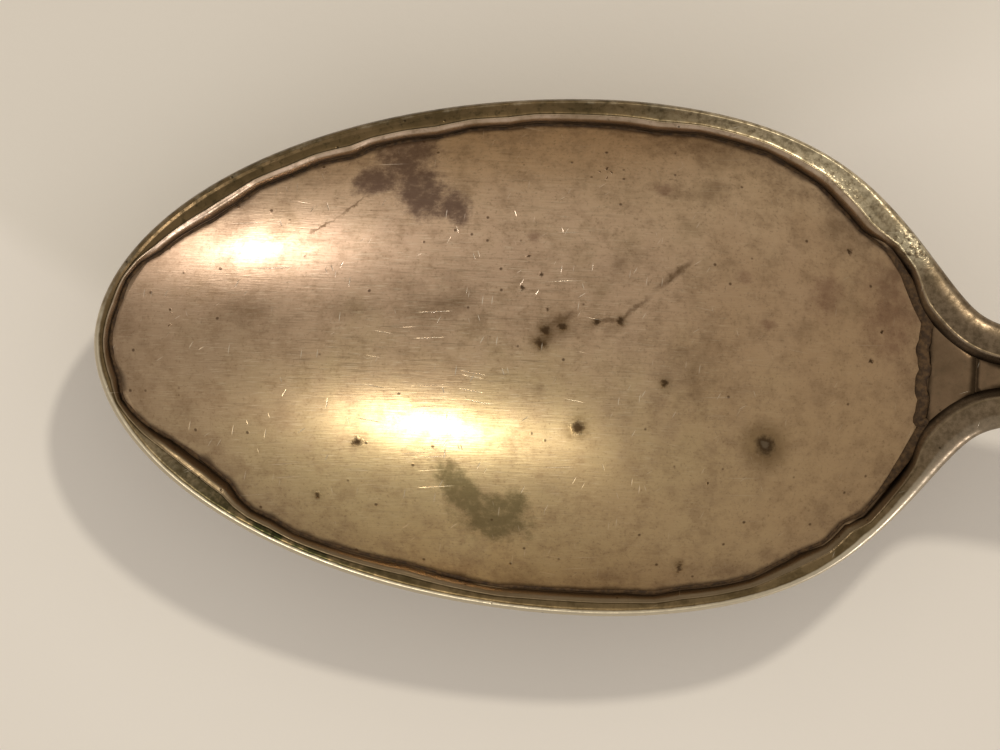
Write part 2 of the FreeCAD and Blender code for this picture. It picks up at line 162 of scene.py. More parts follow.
EDGE_ANGLES = np.linspace(-math.pi, math.pi, 2881)
EDGE_STATIONS, EDGE_SIDES = pan_edge(EDGE_ANGLES)
EDGE_BEARINGS = np.unwrap(np.arctan2(EDGE_SIDES, PAN_DEEPEST - EDGE_STATIONS))
EDGE_REACHES = np.hypot(EDGE_STATIONS - PAN_DEEPEST, EDGE_SIDES) - PAN_WALL
EDGE_HEIGHTS = crest(EDGE_STATIONS) - PAN_EDGE_DROP


def bowl_floor(station, y):
    """Height of the pan's inner face at a point inside the bowl."""
    bearing = np.arctan2(y, PAN_DEEPEST - np.asarray(station, float))
    reach = np.interp(bearing, EDGE_BEARINGS, EDGE_REACHES)
    top = np.interp(bearing, EDGE_BEARINGS, EDGE_HEIGHTS)
    level = np.minimum(np.hypot(np.asarray(station) - PAN_DEEPEST, y) / reach, 1.0)
    return PAN_FLOOR + (top - PAN_FLOOR) * pan_rise(level, 1.0)


def outline(t):
    """The outside edge: t runs from 0 at the tip through 1 at the widest station to 2."""
    if t <= 1.0:
        angle = 0.5 * math.pi * t
        y = BOWL_HALF_WIDTH * max(math.sin(angle), 0.0) ** (2.0 * TIP_POWER)
        return BOWL_WIDEST * (1.0 - math.cos(angle)), y
    station = BOWL_WIDEST + (t - 1.0) * (RIM_END - BOWL_WIDEST)
    return station, shoulder(station)


def outward(t):
    if t <= 0.0:
        return -1.0, 0.0
    nudge = 0.002
    before = outline(t - nudge)
    after = outline(min(t + nudge, 2.0))
    across, along = before[1] - after[1], after[0] - before[0]
    size = math.hypot(across, along)
    return across / size, along / size


# How far in from the outline the solder seam runs: (distance along the rim from the tip, inset).
# The left side is towards +Y.
SEAM_LEFT = [
    (0, 0.95), (2.6, 1.0), (4.3, 0.8), (5.7, 0.93), (7.0, 1.33), (8.8, 1.52), (11.0, 1.78),
    (12.8, 1.73), (14.5, 1.52), (16.7, 1.62), (18.5, 1.52), (20.7, 1.73), (22.0, 1.51),
    (24.0, 1.52), (26.0, 1.68), (28.2, 1.47), (30.4, 1.58), (32.1, 1.44), (34.3, 1.52),
    (37.4, 1.61), (39.6, 1.75), (42.2, 1.48), (46.6, 1.52), (48.4, 1.69), (50.6, 1.8),
    (52.4, 2.06), (54.6, 2.25), (56.8, 1.85), (58.5, 1.92), (60.3, 2.31), (61.6, 2.6)]
SEAM_RIGHT = [
    (0, 0.95), (2.6, 1.1), (4.0, 0.82), (5.3, 1.0), (6.6, 1.27), (7.9, 1.64), (9.2, 1.85),
    (11.0, 1.96), (12.8, 1.86), (13.8, 1.45), (14.9, 1.24), (16.3, 1.3), (17.8, 1.17),
    (18.9, 1.19), (20.7, 1.27), (22.9, 1.38), (25.1, 1.52), (27.3, 1.41), (30.8, 1.27),
    (32.6, 1.38), (35.2, 1.45), (38.7, 1.42), (40.5, 1.27), (42.2, 1.42), (44.0, 1.36),
    (46.6, 1.33), (48.4, 1.55), (50.2, 1.66), (51.9, 1.5), (53.7, 1.8), (55.0, 1.5),
    (56.8, 1.68), (58.1, 1.8), (59.4, 1.96), (61.6, 2.4)]
SEAM_LENGTH = 61.6
WEB_START = 49.35
WEB_END = 52.3


def rim_run():
    """Samples along one side of the rim: (t, station, y, outward x, outward y, distance)."""
    samples = []
    distance = 0.0
    for i in range(641):
        t = 2.0 * (i / 640.0)
        station, y = outline(t)
        if samples:
            distance += math.hypot(station - samples[-1][1], y - samples[-1][2])
        samples.append((t, station, y) + outward(t) + (distance,))
    return np.array(samples)


RIM_RUN = rim_run()


def seam_inset(side, distance):
    return np.interp(distance, *zip(*(SEAM_LEFT if side > 0 else SEAM_RIGHT)))


def seam_line():
    """The seam as a closed loop seen from above: up the right side, round the tip, down the left."""
    sides = []
    for side in (-1, 1):
        run = RIM_RUN[RIM_RUN[:, 5] <= SEAM_LENGTH]
        inset = seam_inset(side, run[:, 5])
        x = run[:, 1] - run[:, 3] * inset
        y = (run[:, 2] - run[:, 4] * inset) * side
        sides.append(np.stack([x, y], 1))
    right, left = sides
    start, end = left[-1], right[-1]
    steps = 40
    across = np.array([start + (end - start) * i / steps for i in range(1, steps)])
    across[:, 0] = WEB_START - 0.12
    across[:, 0] += 0.10 * np.sin(np.arange(1, steps) * 0.45) + 0.05 * np.sin(np.arange(1, steps) * 1.1)
    return np.concatenate([right[::-1], left[1:], across])


def evened(points, step):
    """The closed loop with its points evenly spaced."""
    closed = np.concatenate([points, points[:1]])
    lengths = np.concatenate([[0.0], np.cumsum(np.hypot(*np.diff(closed, axis=0).T))])
    marks = np.arange(0.0, lengths[-1], step)
    return np.stack([np.interp(marks, lengths, closed[:, k]) for k in range(2)], 1)


SEAM = evened(seam_line(), 0.12)
for _ in range(2):
    SEAM = 0.5 * SEAM + 0.25 * (np.roll(SEAM, 1, 0) + np.roll(SEAM, -1, 0))

# ---------------------------------------------------------------- mesh helpers


def circle(count):
    """Angles spaced evenly round a full turn."""
    return [2.0 * math.pi * k / count for k in range(count)]


def half_circle(count):
    """Angles spaced evenly over half a turn, with both ends."""
    return [math.pi * k / count for k in range(count + 1)]


def wobble(x, y, z, scale, seed):
    """Smooth noise between about -1 and 1, with features of about scale millimetres."""
    return noise.noise(Vector((x / scale + seed * 17.3, y / scale - seed * 5.1, z / scale)))


def make_mesh(name, points, faces, material):
    """A piece from millimetre points in the spoon's (station, y, z)."""
    mesh = bpy.data.meshes.new(name)
    points = np.asarray(points, float)
    placed = np.stack([points[:, 0] + TIP_X, points[:, 1], points[:, 2]], 1) * MM
    mesh.from_pydata(placed.tolist(), [], faces)
    mesh.validate()
    shell = bmesh.new()
    shell.from_mesh(mesh)
    bmesh.ops.recalc_face_normals(shell, faces=shell.faces)
    shell.to_mesh(mesh)
    shell.free()
    mesh.polygons.foreach_set("use_smooth", [True] * len(mesh.polygons))
    mesh.materials.append(material)
    piece = bpy.data.objects.new(name, mesh)
    bpy.context.scene.collection.objects.link(piece)
    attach(piece, "root")
    return piece


def loft_faces(rows, columns, closed_rows=False, closed_columns=True):
    faces = []
    for r in range(rows if closed_rows else rows - 1):
        below = (r + 1) % rows
        for c in range(columns if closed_columns else columns - 1):
            beside = (c + 1) % columns
            faces.append((r * columns + c, r * columns + beside, below * columns + beside,
                          below * columns + c))
    return faces


def rounded(controls):
    """Points along a Catmull-Rom curve through the controls, three to a span, ends included."""
    controls = [np.asarray(c, float) for c in controls]
    padded = [2 * controls[0] - controls[1]] + controls + [2 * controls[-1] - controls[-2]]
    points = []
    for i in range(1, len(padded) - 2):
        a, b, c, d = padded[i - 1:i + 3]
        for u in (0.0, 1.0 / 3.0, 2.0 / 3.0):
            points.append(0.5 * (2 * b + (c - a) * u + (2 * a - 5 * b + 4 * c - d) * u * u
                                 + (3 * b - a - 3 * c + d) * u ** 3))
    points.append(controls[-1])
    return np.array(points)


class Batch:
    """Collects closed tubes into one mesh. A point is its x, y and z and then its value in each field."""

    def __init__(self, *fields):
        self.fields = fields
        self.points = []
        self.faces = []

    def tube(self, rings, looped=False):
        """Adds a solid lofted through rings that each have the same number of points."""
        rings = np.asarray(rings, float)
        rows, columns, width = rings.shape
        faces = loft_faces(rows, columns, closed_rows=looped)
        if not looped:
            faces.append(tuple(range(columns)))
            faces.append(tuple(range((rows - 1) * columns, rows * columns)))
        start = len(self.points)
        self.faces.extend(tuple(start + index for index in face) for face in faces)
        self.points.extend(rings.reshape(-1, width).tolist())

    def build(self, name, node, material):
        points = np.array(self.points)
        piece = make_mesh(name, points[:, :3], self.faces, material)
        for field, values in zip(self.fields, points[:, 3:].T):
            attribute = piece.data.attributes.new(field, "FLOAT", "POINT")
            attribute.data.foreach_set("value", values.tolist())
        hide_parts(node)


def build_tube(name, node, material, rings, *fields, looped=False):
    """One closed piece lofted through rings, which stands for a CAD node."""
    piece = Batch(*fields)
    piece.tube(rings, looped)
    piece.build(name, node, material)


# ---------------------------------------------------------------- node graphs


class Graph:
    """Builds a material's nodes. Coordinates inside are millimetres in the spoon's frame."""

    def __init__(self, name):
        self.material = bpy.data.materials.new(name)
        self.material.use_nodes = True
        self.tree = self.material.node_tree
        self.tree.nodes.clear()
        output = self.tree.nodes.new("ShaderNodeOutputMaterial")
        self.shader = self.tree.nodes.new("ShaderNodeBsdfPrincipled")
        self.tree.links.new(self.shader.outputs[0], output.inputs[0])
        coordinates = self.tree.nodes.new("ShaderNodeTexCoord")
        self.place = self.vector("SCALE", coordinates.outputs["Object"], scale=1.0 / MM)

    def feed(self, socket, value):
        if isinstance(value, bpy.types.NodeSocket):
            self.tree.links.new(value, socket)
        elif value is not None:
            socket.default_value = value + (1.0,) if socket.type == "RGBA" else value

    def node(self, kind, *values, **settings):
        """A new node, with values fed to its inputs in order, None leaving one as it is."""
        node = self.tree.nodes.new("ShaderNode" + kind)
        for name, setting in settings.items():
            setattr(node, name, setting)
        for socket, value in zip(node.inputs, values):
            self.feed(socket, value)
        return node

    def vector(self, operation, a, b=None, scale=None):
        node = self.node("VectorMath", a, b, None, scale, operation=operation)
        return node.outputs["Value"] if operation in ("LENGTH", "DISTANCE") else node.outputs[0]

    def math(self, operation, a, b=None, c=None):
        return self.node("Math", a, b, c, operation=operation).outputs[0]

    def times(self, a, b):
        return self.math("MULTIPLY", a, b)

    def uneven(self, noise, amount):
        """Noise that averages 0 and not a half, times an amount."""
        return self.times(self.math("SUBTRACT", noise, 0.5), amount)

    def part(self, source, axis):
        return self.node("SeparateXYZ", source).outputs[axis]

    def mapped(self, scale=(1, 1, 1), turn=0.0, shift=(0, 0, 0), source=None):
        """Coordinates scaled, then turned about Z, then shifted."""
        return self.node("Mapping", source or self.place, shift, (0, 0, turn), scale).outputs[0]

    def noise(self, scale, detail=3.0, rough=0.5, source=None, output="Fac"):
        return self.node("TexNoise", source or self.place, None, scale, detail, rough).outputs[output]

    def warped(self, scale, amount):
        """Coordinates pushed about by noise of a given scale, by up to about amount millimetres."""
        push = self.vector("SUBTRACT", self.noise(scale, 3.0, 0.6, output="Color"), (0.5, 0.5, 0.5))
        return self.vector("ADD", self.place, self.vector("SCALE", push, scale=2.0 * amount))

    def cells(self, scale, source=None):
        """Distance to the nearest random point, and that point's own random number."""
        node = self.node("TexVoronoi", source or self.place, None, scale)
        return node.outputs["Distance"], self.part(node.outputs["Color"], 0)

    def span(self, value, low, high, out_low=0.0, out_high=1.0):
        """Eases from out_low to out_high as the value goes from low to high."""
        node = self.node("MapRange", value, low, high, out_low, out_high, interpolation_type="SMOOTHSTEP")
        return node.outputs[0]

    def mix(self, factor, a, b):
        return self.node("Mix", factor, *[None] * 5, a, b, data_type="RGBA").outputs[2]

    def tint(self, color, value, low, high, strength, towards):
        """The colour, mixed towards another by up to strength as the value goes from low to high."""
        return self.mix(self.span(value, low, high, 0.0, strength), color, towards)

    def attribute(self, name):
        return self.node("Attribute", attribute_name=name).outputs["Fac"]

    def away(self, source, station, y):
        """Distance in millimetres from a place, seen from above."""
        return self.vector("DISTANCE", source, (station + TIP_X, y, 0.0))

    def stroke(self, source, station, y, half_length, half_width, turn):
        """1 along a thin line seen from above, falling to 0 at its sides and ends."""
        shift = (-(station + TIP_X), -y, 0.0)
        turned = self.mapped(turn=-turn, source=self.mapped(shift=shift, source=source))
        shaped = self.mapped(scale=(1.0 / half_length, 1.0 / half_width, 0), source=turned)
        return self.span(self.vector("LENGTH", shaped), 0.2, 1.2, 1.0, 0.0)

    def most(self, masks):
        total = masks[0]
        for mask in masks[1:]:
            total = self.math("MAXIMUM", total, mask)
        return total

    def scratches(self, turn, length, width, share):
        """Short straight marks of one heading, scattered so that share of them per square mm show."""
        along = 0.3 / length
        across = 0.3 / width
        source = self.mapped(scale=(along, across, 0.0), source=self.mapped(turn=-turn))
        gap, lot = self.cells(1.0, source)
        keep = share / (along * across)
        shown = self.span(lot, keep, 1.1 * keep, 1.0, 0.0)
        return self.times(self.span(gap, 0.05, 0.15, 1.0, 0.0), shown)

    def relief(self, heights):
        """A normal for the sum of (mask, millimetres) heights."""
        total = None
        for mask, depth in heights:
            total = self.math("MULTIPLY_ADD", mask, depth, total)
        return self.bump(total, 1.0)

    def bump(self, height, depth, normal=None):
        """Height runs 0 to 1 over depth millimetres."""
        node = self.tree.nodes.new("ShaderNodeBump")
        node.inputs["Distance"].default_value = depth * MM
        self.feed(node.inputs["Height"], height)
        self.feed(node.inputs["Normal"], normal)
        return node.outputs[0]

    def finish(self, color, roughness, normal=None, metallic=1.0, coat=0.0):
        self.feed(self.shader.inputs["Base Color"], color)
        self.feed(self.shader.inputs["Roughness"], roughness)
        self.feed(self.shader.inputs["Normal"], normal)
        self.feed(self.shader.inputs["Metallic"], metallic)
        self.shader.inputs["Coat Weight"].default_value = coat
        self.shader.inputs["Coat Roughness"].default_value = 0.14
        return self.material


# ---------------------------------------------------------------- materials

# Round pits inside the bowl: (station, y, radius)
PITS = [(29.06, -4.74, 0.36), (26.86, 1.15, 0.30), (26.55, 0.3, 0.33), (27.9, 1.35, 0.22),
        (29.99, 1.81, 0.17), (31.44, 1.87, 0.24), (34.32, -1.78, 0.20), (26.47, 4.58, 0.15),
        (25.64, 5.73, 0.11), (25.34, 3.74, 0.15), (26.99, 2.43, 0.12), (15.69, -5.91, 0.26),
        (13.45, -9.03, 0.18), (4.33, 1.84, 0.10), (4.32, 0.97, 0.08), (35.42, -12.49, 0.20),
        (46.36, 0.43, 0.11), (46.82, 2.28, 0.11), (44.79, 6.93, 0.14), (30.1, 11.3, 0.09),
        (30.5, 11.0, 0.08), (30.2, 10.8, 0.07), (29.7, 11.1, 0.07), (37.1, -7.6, 0.09)]

# Dark lines inside the bowl: (station, y, half length, half width, turn in degrees)
STREAKS = [(32.3, 2.7, 1.5, 0.20, 40), (34.6, 4.9, 1.9, 0.30, 42), (30.7, 1.9, 0.9, 0.20, 2),
           (27.8, 1.8, 1.3, 0.40, 32), (26.9, 0.7, 1.0, 0.45, 60), (13.2, 7.2, 1.3, 0.10, 28),
           (14.9, 8.4, 1.4, 0.10, 38)]
RING_PIT = (40.46, -5.14)
HALO_FROM = 0.15

# How each kind of stain shows: the field's low and high values, its strength and its colour
STAIN_LOOKS = {"brown": (0.15, 1.5, 0.6, (0.17, 0.105, 0.052)),
               "red": (0.15, 1.3, 0.65, (0.19, 0.095, 0.055)),
               "purple": (0.12, 1.1, 0.9, (0.12, 0.072, 0.050)),
               "green": (0.12, 1.1, 0.85, (0.130, 0.103, 0.045))}


def bowl_marks(g, color):
    """Pits, streaks and tarnish on the gilding: the marked colour, and how pitted each point is."""
    flat = g.mapped(scale=(1, 1, 0), source=g.warped(2.4, 0.30))
    grain = g.noise(1.3, 8.0, 0.72)
    ragged = g.math("MULTIPLY_ADD", grain, 2.0, -1.0)
    for name, (low, high, strength, tint) in STAIN_LOOKS.items():
        field = g.attribute(name)
        edge = g.math("ADD", field, g.times(ragged, g.span(field, 0.0, 0.3)))
        color = g.tint(color, edge, low, high, strength, tint)
    streaks = g.most([g.stroke(flat, *mark[:4], math.radians(mark[4])) for mark in STREAKS])
    streaks = g.times(streaks, g.span(grain, 0.35, 0.6, 0.9, 0.5))
    color = g.mix(streaks, color, (0.115, 0.062, 0.024))
    gaps = [(g.away(flat, station, y), radius) for station, y, radius in PITS]
    pits = g.most([g.span(gap, 0.35 * radius, 1.45 * radius, 1.0, 0.0) for gap, radius in gaps])
    halos = g.most([g.span(gap, 0.5 * radius, 3.4 * radius, 1.0, 0.0)
                    for gap, radius in gaps if radius > HALO_FROM])
    halos = g.times(halos, g.span(grain, 0.35, 0.62, 0.75, 0.2))
    color = g.mix(halos, color, (0.125, 0.072, 0.022))
    color = g.mix(g.times(pits, 0.88), color, (0.05, 0.024, 0.006))
    ring = g.away(flat, *RING_PIT)
    color = g.mix(g.span(ring, 0.7, 2.0, 0.6, 0.0), color, (0.16, 0.095, 0.035))
    core = g.span(ring, 0.34, 0.78, 1.0, 0.0)
    color = g.mix(g.times(core, 0.9), color, (0.048, 0.025, 0.008))
    color = g.mix(g.span(ring, 0.12, 0.34, 0.5, 0.0), color, (0.22, 0.17, 0.11))
    return color, pits


def bowl_gilding(g):
    """The worn gold wash before its stains: rosy on the left, gold on the right, tan at the neck. The rosy
    and gold tints are partly gold-wash tone and partly a painted reflection of the lamps' tinted highlight
    halos, and the lighter tone on the left is partly painted light.
    """
    cloud = g.noise(0.33, 5.0, 0.62)
    lopsided = g.math("ADD", g.part(g.place, 1), g.uneven(cloud, 12.0))
    # Partly painted reflection: rosy towards +Y and gold towards -Y echo the tints of the two lamps'
    # highlight halos.
    color = g.mix(g.span(lopsided, -8.0, 4.0), (0.53, 0.41, 0.222), (0.59, 0.415, 0.275))
    along = g.math("ADD", g.part(g.place, 0), g.uneven(g.noise(0.10, 3.0, 0.55), 26.0))
    color = g.tint(color, along, TIP_X + 24.0, TIP_X + 46.0, 0.85, (0.452, 0.302, 0.164))
    color = g.mix(g.span(along, TIP_X + 2.0, TIP_X + 18.0, 0.7, 0.0), color, (0.38, 0.265, 0.17))
    # Partly painted light: the left (+Y) side is lifted to a lighter tone that stands for reflected lamp
    # light.
    color = g.tint(color, lopsided, 4.0, 12.0, 0.55, (0.76, 0.57, 0.36))
    return g.tint(color, cloud, 0.50, 0.76, 0.6, (0.33, 0.225, 0.125))


# Scratches as (heading in degrees, length, width, number per square millimetre)
BOWL_SCRATCHES = ((84, 0.75, 0.08, 0.30), (62, 0.65, 0.075, 0.30), (109, 0.55, 0.075, 0.2),
                  (35, 0.7, 0.07, 0.16), (4, 2.8, 0.05, 0.16), (-9, 1.9, 0.055, 0.10))
SILVER_SCRATCHES = ((20, 0.8, 0.04, 0.08), (75, 0.5, 0.04, 0.08), (-35, 0.9, 0.04, 0.06),
                    (2, 2.0, 0.04, 0.10))


def all_scratches(g, kinds):
    return g.most([g.scratches(math.radians(kind[0]), *kind[1:]) for kind in kinds])


def random_specks(g, scale, edge):
    """Small round specks at about a third of a set of random points."""
    gap, lot = g.cells(scale)
    return g.times(g.span(gap, 0.05, edge, 1.0, 0.0), g.span(lot, 0.3, 0.33, 1.0, 0.0))


def bowl_material():
    g = Graph("gilt_wash")
    color = bowl_gilding(g)
    brushed = g.noise(1.0, 4.0, 0.65, g.mapped(scale=(0.35, 7.0, 1.0)))
    fine_brushed = g.noise(1.0, 2.0, 0.5, g.mapped(scale=(1.2, 26.0, 1.0)))
    mottle = g.noise(0.75, 9.0, 0.74)
    speckle = g.noise(6.0, 3.0, 0.6)
    handled = g.attribute("handled")
    color = g.tint(color, mottle, 0.42, 0.70, 0.55, (0.25, 0.16, 0.085))
    dark_lines = g.times(g.span(brushed, 0.5, 0.72), g.math("MULTIPLY_ADD", handled, 0.5, 0.05))
    color = g.mix(dark_lines, color, (0.22, 0.15, 0.085))
    color = g.tint(color, speckle, 0.56, 0.72, 0.35, (0.20, 0.13, 0.07))
    light_lines = g.times(g.span(fine_brushed, 0.54, 0.72), g.math("MULTIPLY_ADD", handled, 0.45, 0.05))
    color = g.mix(light_lines, color, (0.80, 0.68, 0.48))
    color, pits = bowl_marks(g, color)
    gap = g.attribute("seam_gap")
    shade = g.times(g.span(gap, 0.05, 0.30, 0.92, 0.0), g.span(mottle, 0.2, 0.6, 0.8, 1.0))
    haze = g.times(g.span(gap, 0.2, 1.9, 0.34, 0.0), g.span(mottle, 0.3, 0.65, 0.3, 1.0))
    color = g.mix(haze, color, (0.17, 0.105, 0.06))
    color = g.mix(shade, color, (0.050, 0.028, 0.014))
    specks = random_specks(g, 1.0, 0.14)
    color = g.mix(g.times(specks, 0.75), color, (0.06, 0.028, 0.010))
    marks = g.times(all_scratches(g, BOWL_SCRATCHES), g.math("MULTIPLY_ADD", handled, 0.9, 0.1))
    color = g.mix(g.times(marks, 0.8), color, (0.92, 0.82, 0.66))
    silver, silver_rough = old_silver(g)
    inside = g.attribute("inside")
    color = g.mix(inside, silver, color)
    stained = g.math("ADD", g.attribute("purple"), g.attribute("green"))
    rough = g.math("ADD", g.span(mottle, 0.3, 0.7, 0.30, 0.36), g.times(stained, 0.10))
    rough = g.math("SUBTRACT", rough, g.times(marks, 0.14))
    rough = g.math("ADD", rough, g.times(pits, 0.25))
    rough = g.mix(inside, silver_rough, rough)
    normal = g.relief([(pits, -0.02), (marks, 0.012), (brushed, 0.006), (fine_brushed, 0.0024),
                       (specks, -0.006)])
    return g.finish(color, rough, normal, coat=0.22)


def old_silver(g, bright=(0.42, 0.35, 0.24), dark=(0.14, 0.105, 0.058)):
    """Tarnished silver: its colour and roughness."""
    cloud = g.noise(0.42, 5.0, 0.62)
    mottle = g.noise(2.1, 6.0, 0.68)
    color = g.tint(bright, cloud, 0.28, 0.78, 0.8, dark)
    color = g.tint(color, mottle, 0.45, 0.78, 0.5, (0.10, 0.078, 0.048))
    return color, g.span(mottle, 0.3, 0.7, 0.27, 0.42)


def silver_wear(g, color, rough):
    """Fine scratches and dark specks on any silver: colour, roughness and the heights for relief."""
    marks = all_scratches(g, SILVER_SCRATCHES)
    color = g.mix(g.times(marks, 0.6), color, (0.72, 0.65, 0.52))
    specks = random_specks(g, 1.3, 0.15)
    color = g.mix(g.times(specks, 0.75), color, (0.03, 0.021, 0.012))
    rough = g.math("SUBTRACT", rough, g.times(marks, 0.1))
    return color, rough, [(g.noise(1.4, 4.0, 0.6), 0.02), (marks, 0.008), (specks, -0.015)]


def moulding_material():
    """The rim and ribs: a light outer lip, partly worn metal and partly a painted highlight that is strongest
    on the lower side, an olive band, a lighter ridge line, then a rosy slope to the seam whose light tone is
    partly a painted highlight, with painted sheen on the upper right.
    """
    g = Graph("rim_silver")
    jitter = g.uneven(g.noise(1.1, 5.0, 0.65), 0.5)
    cloud = g.noise(0.45, 4.0, 0.6)
    mottle = g.noise(2.4, 6.0, 0.7)
    band_color = g.mix(g.span(cloud, 0.35, 0.65), (0.165, 0.112, 0.054), (0.095, 0.066, 0.030))
    band_color = g.tint(band_color, mottle, 0.5, 0.68, 0.75, (0.045, 0.034, 0.016))
    band_color = g.mix(g.times(g.attribute("shaded"), 0.5), band_color, (0.24, 0.175, 0.09))
    # Painted highlight: the band on the upper right is lightened to stand for the lamps' sheen there; a
    # weaker patch at the lower left is lightened too.
    rub_and_sheen = g.times(g.attribute("rub_and_sheen"), g.span(mottle, 0.35, 0.62, 1.0, 0.25))
    band_color = g.mix(g.times(rub_and_sheen, 0.95), band_color, (0.68, 0.58, 0.39))
    patches = g.noise(0.9, 6.0, 0.68)
    dirt = g.times(g.attribute("shaded"), g.span(patches, 0.44, 0.62, 0.0, 0.6))
    band_color = g.mix(dirt, band_color, (0.07, 0.046, 0.018))
    green = g.times(g.attribute("verdigris"), g.span(patches, 0.36, 0.54))
    band_color = g.mix(green, band_color, (0.034, 0.036, 0.014))
    lip = g.math("ADD", g.attribute("lip"), jitter)
    # Lip: its light colour is partly wear and partly a painted highlight; the mark is strongest on the lower
    # side, towards the low lamp.
    color = g.tint(band_color, lip, 0.25, 0.65, 0.95, (0.58, 0.51, 0.38))
    ridge = g.times(g.attribute("ridge"), g.span(mottle, 0.3, 0.55, 1.0, 0.3))
    slope = g.math("ADD", g.attribute("slope"), g.times(jitter, 0.5))
    # Partly painted highlight: the slope's light rosy tone stands partly for the lamp's highlight along it;
    # the lower side is painted darker as shade.
    rosy = g.mix(g.span(cloud, 0.35, 0.65), (0.56, 0.43, 0.32), (0.36, 0.265, 0.175))
    rosy = g.tint(rosy, mottle, 0.5, 0.72, 0.6, (0.14, 0.098, 0.056))
    rosy = g.mix(g.attribute("shaded"), rosy, (0.17, 0.125, 0.070))
    color = g.mix(g.span(slope, 0.3, 0.7), color, rosy)
    color = g.mix(g.times(ridge, 0.7), color, (0.46, 0.38, 0.25))
    plum = g.mix(g.span(mottle, 0.35, 0.65), (0.235, 0.175, 0.115), (0.12, 0.088, 0.055))
    color = g.mix(g.times(g.attribute("neck"), 0.85), color, plum)
    soot = g.times(g.attribute("soot"), g.span(mottle, 0.2, 0.6, 0.7, 1.0))
    color = g.mix(soot, color, (0.03, 0.019, 0.011))
    color, rough, heights = silver_wear(g, color, g.span(mottle, 0.3, 0.7, 0.28, 0.46))
    pitted = g.attribute("pitted")
    gravel = g.noise(3.2, 2.0, 0.6)
    # Painted glints: the light flecks on the pitted patch stand for its sparkle under the lamps; the pitting
    # itself is the bump below.
    color = g.mix(g.times(pitted, g.span(gravel, 0.47, 0.6, 0.8, 0.0)), color, (0.66, 0.58, 0.40))
    heights.append((g.times(pitted, gravel), 0.17))
    return g.finish(color, rough, g.relief(heights))


def seam_material():
    g = Graph("seam_tarnish")
    mottle = g.noise(3.0, 5.0, 0.6)
    color = g.mix(g.span(mottle, 0.35, 0.7), (0.036, 0.020, 0.009), (0.100, 0.058, 0.026))
    normal = g.bump(g.noise(6.0, 3.0, 0.6), 0.04)
    g.shader.inputs["Specular IOR Level"].default_value = 0.2
    return g.finish(color, g.span(mottle, 0.3, 0.7, 0.6, 0.8), normal, metallic=0.0)


def hollowed_silver(g, bright, dark, unevenness, low, high, strength, soot):
    """Old silver whose hollows have gone dark."""
    color, rough = old_silver(g, bright, dark)
    hollow = g.math("ADD", g.attribute("hollow"), g.uneven(g.noise(1.6, 4.0, 0.6), unevenness))
    color = g.tint(color, hollow, low, high, strength, soot)
    color, rough, heights = silver_wear(g, color, rough)
    return g.finish(color, rough, g.relief(heights))


def stem_material():
    """Brown in the channel beside the bowl, and plain old silver along the handle and at the back."""
    g = Graph("stem_silver")
    clean = g.span(g.part(g.place, 0), TIP_X + 54.0, TIP_X + 80.0)
    clean = g.math("MAXIMUM", g.attribute("back"), clean)
    bright = g.mix(clean, (0.235, 0.158, 0.094), (0.42, 0.345, 0.235))
    dark = g.mix(clean, (0.115, 0.075, 0.042), (0.18, 0.138, 0.080))
    return hollowed_silver(g, bright, dark, 0.5, 0.2, 0.9, 0.92, (0.03, 0.019, 0.010))


def terminal_material():
    g = Graph("terminal_silver")
    bright, dark = (0.46, 0.385, 0.265), (0.22, 0.17, 0.10)
    return hollowed_silver(g, bright, dark, 0.4, 0.15, 0.95, 0.93, (0.03, 0.023, 0.014))


def copper_material():
    g = Graph("badge_copper")
    color = g.mix(g.span(g.noise(1.8, 4.0, 0.6), 0.35, 0.65), (0.55, 0.24, 0.12), (0.26, 0.12, 0.07))
    return g.finish(color, 0.35, g.bump(g.noise(3.0, 3.0, 0.5), 0.01))


def wire_material():
    g = Graph("wire_silver")
    color, rough = old_silver(g, (0.62, 0.57, 0.46), (0.30, 0.26, 0.19))
    return g.finish(color, rough, g.bump(g.noise(5.0, 3.0, 0.5), 0.01))


def enamel_material(name, light, deep):
    """Glassy enamel with uneven depth of colour and small bubbles."""
    g = Graph(name)
    cloud = g.noise(0.7, 3.0, 0.5)
    color = g.mix(g.span(cloud, 0.3, 0.7), light, deep)
    gap, lot = g.cells(2.2)
    bubbles = g.times(g.span(gap, 0.03, 0.09, 1.0, 0.0), g.span(lot, 0.2, 0.25, 1.0, 0.0))
    color = g.mix(g.times(bubbles, 0.6), color, (0.01, 0.01, 0.01))
    normal = g.bump(g.noise(1.2, 2.0, 0.5), 0.03)
    normal = g.bump(g.math("MULTIPLY_ADD", bubbles, -1.0, 1.0), 0.02, normal)
    rough = g.span(g.noise(2.0, 4.0, 0.6), 0.3, 0.7, 0.08, 0.2)
    return g.finish(color, rough, normal, metallic=0.0, coat=0.6)


def floor_material():
    g = Graph("table_top")
    cloud = g.noise(0.02, 3.0, 0.5)
    color = g.mix(g.span(cloud, 0.3, 0.7), (0.84, 0.80, 0.735), (0.80, 0.755, 0.69))
    rough = g.span(g.noise(0.6, 4.0, 0.5), 0.3, 0.7, 0.5, 0.6)
    return g.finish(color, rough, g.bump(g.noise(1.5, 4.0, 0.6), 0.01), metallic=0.0)


# ---------------------------------------------------------------- bowl

PAN_COLUMNS = 432
PAN_INNER_ROWS = 184
PAN_OUTER_ROWS = 40
FAR = 99.0

# Dents in the pan's inner face: (station, y, radius, depth)
DENTS = [RING_PIT + (0.70, 0.13), (12.5, 0.22, 0.7, 0.02), (26.8, 0.7, 0.9, 0.02),
         (22.0, -12.8, 1.3, 0.05)]

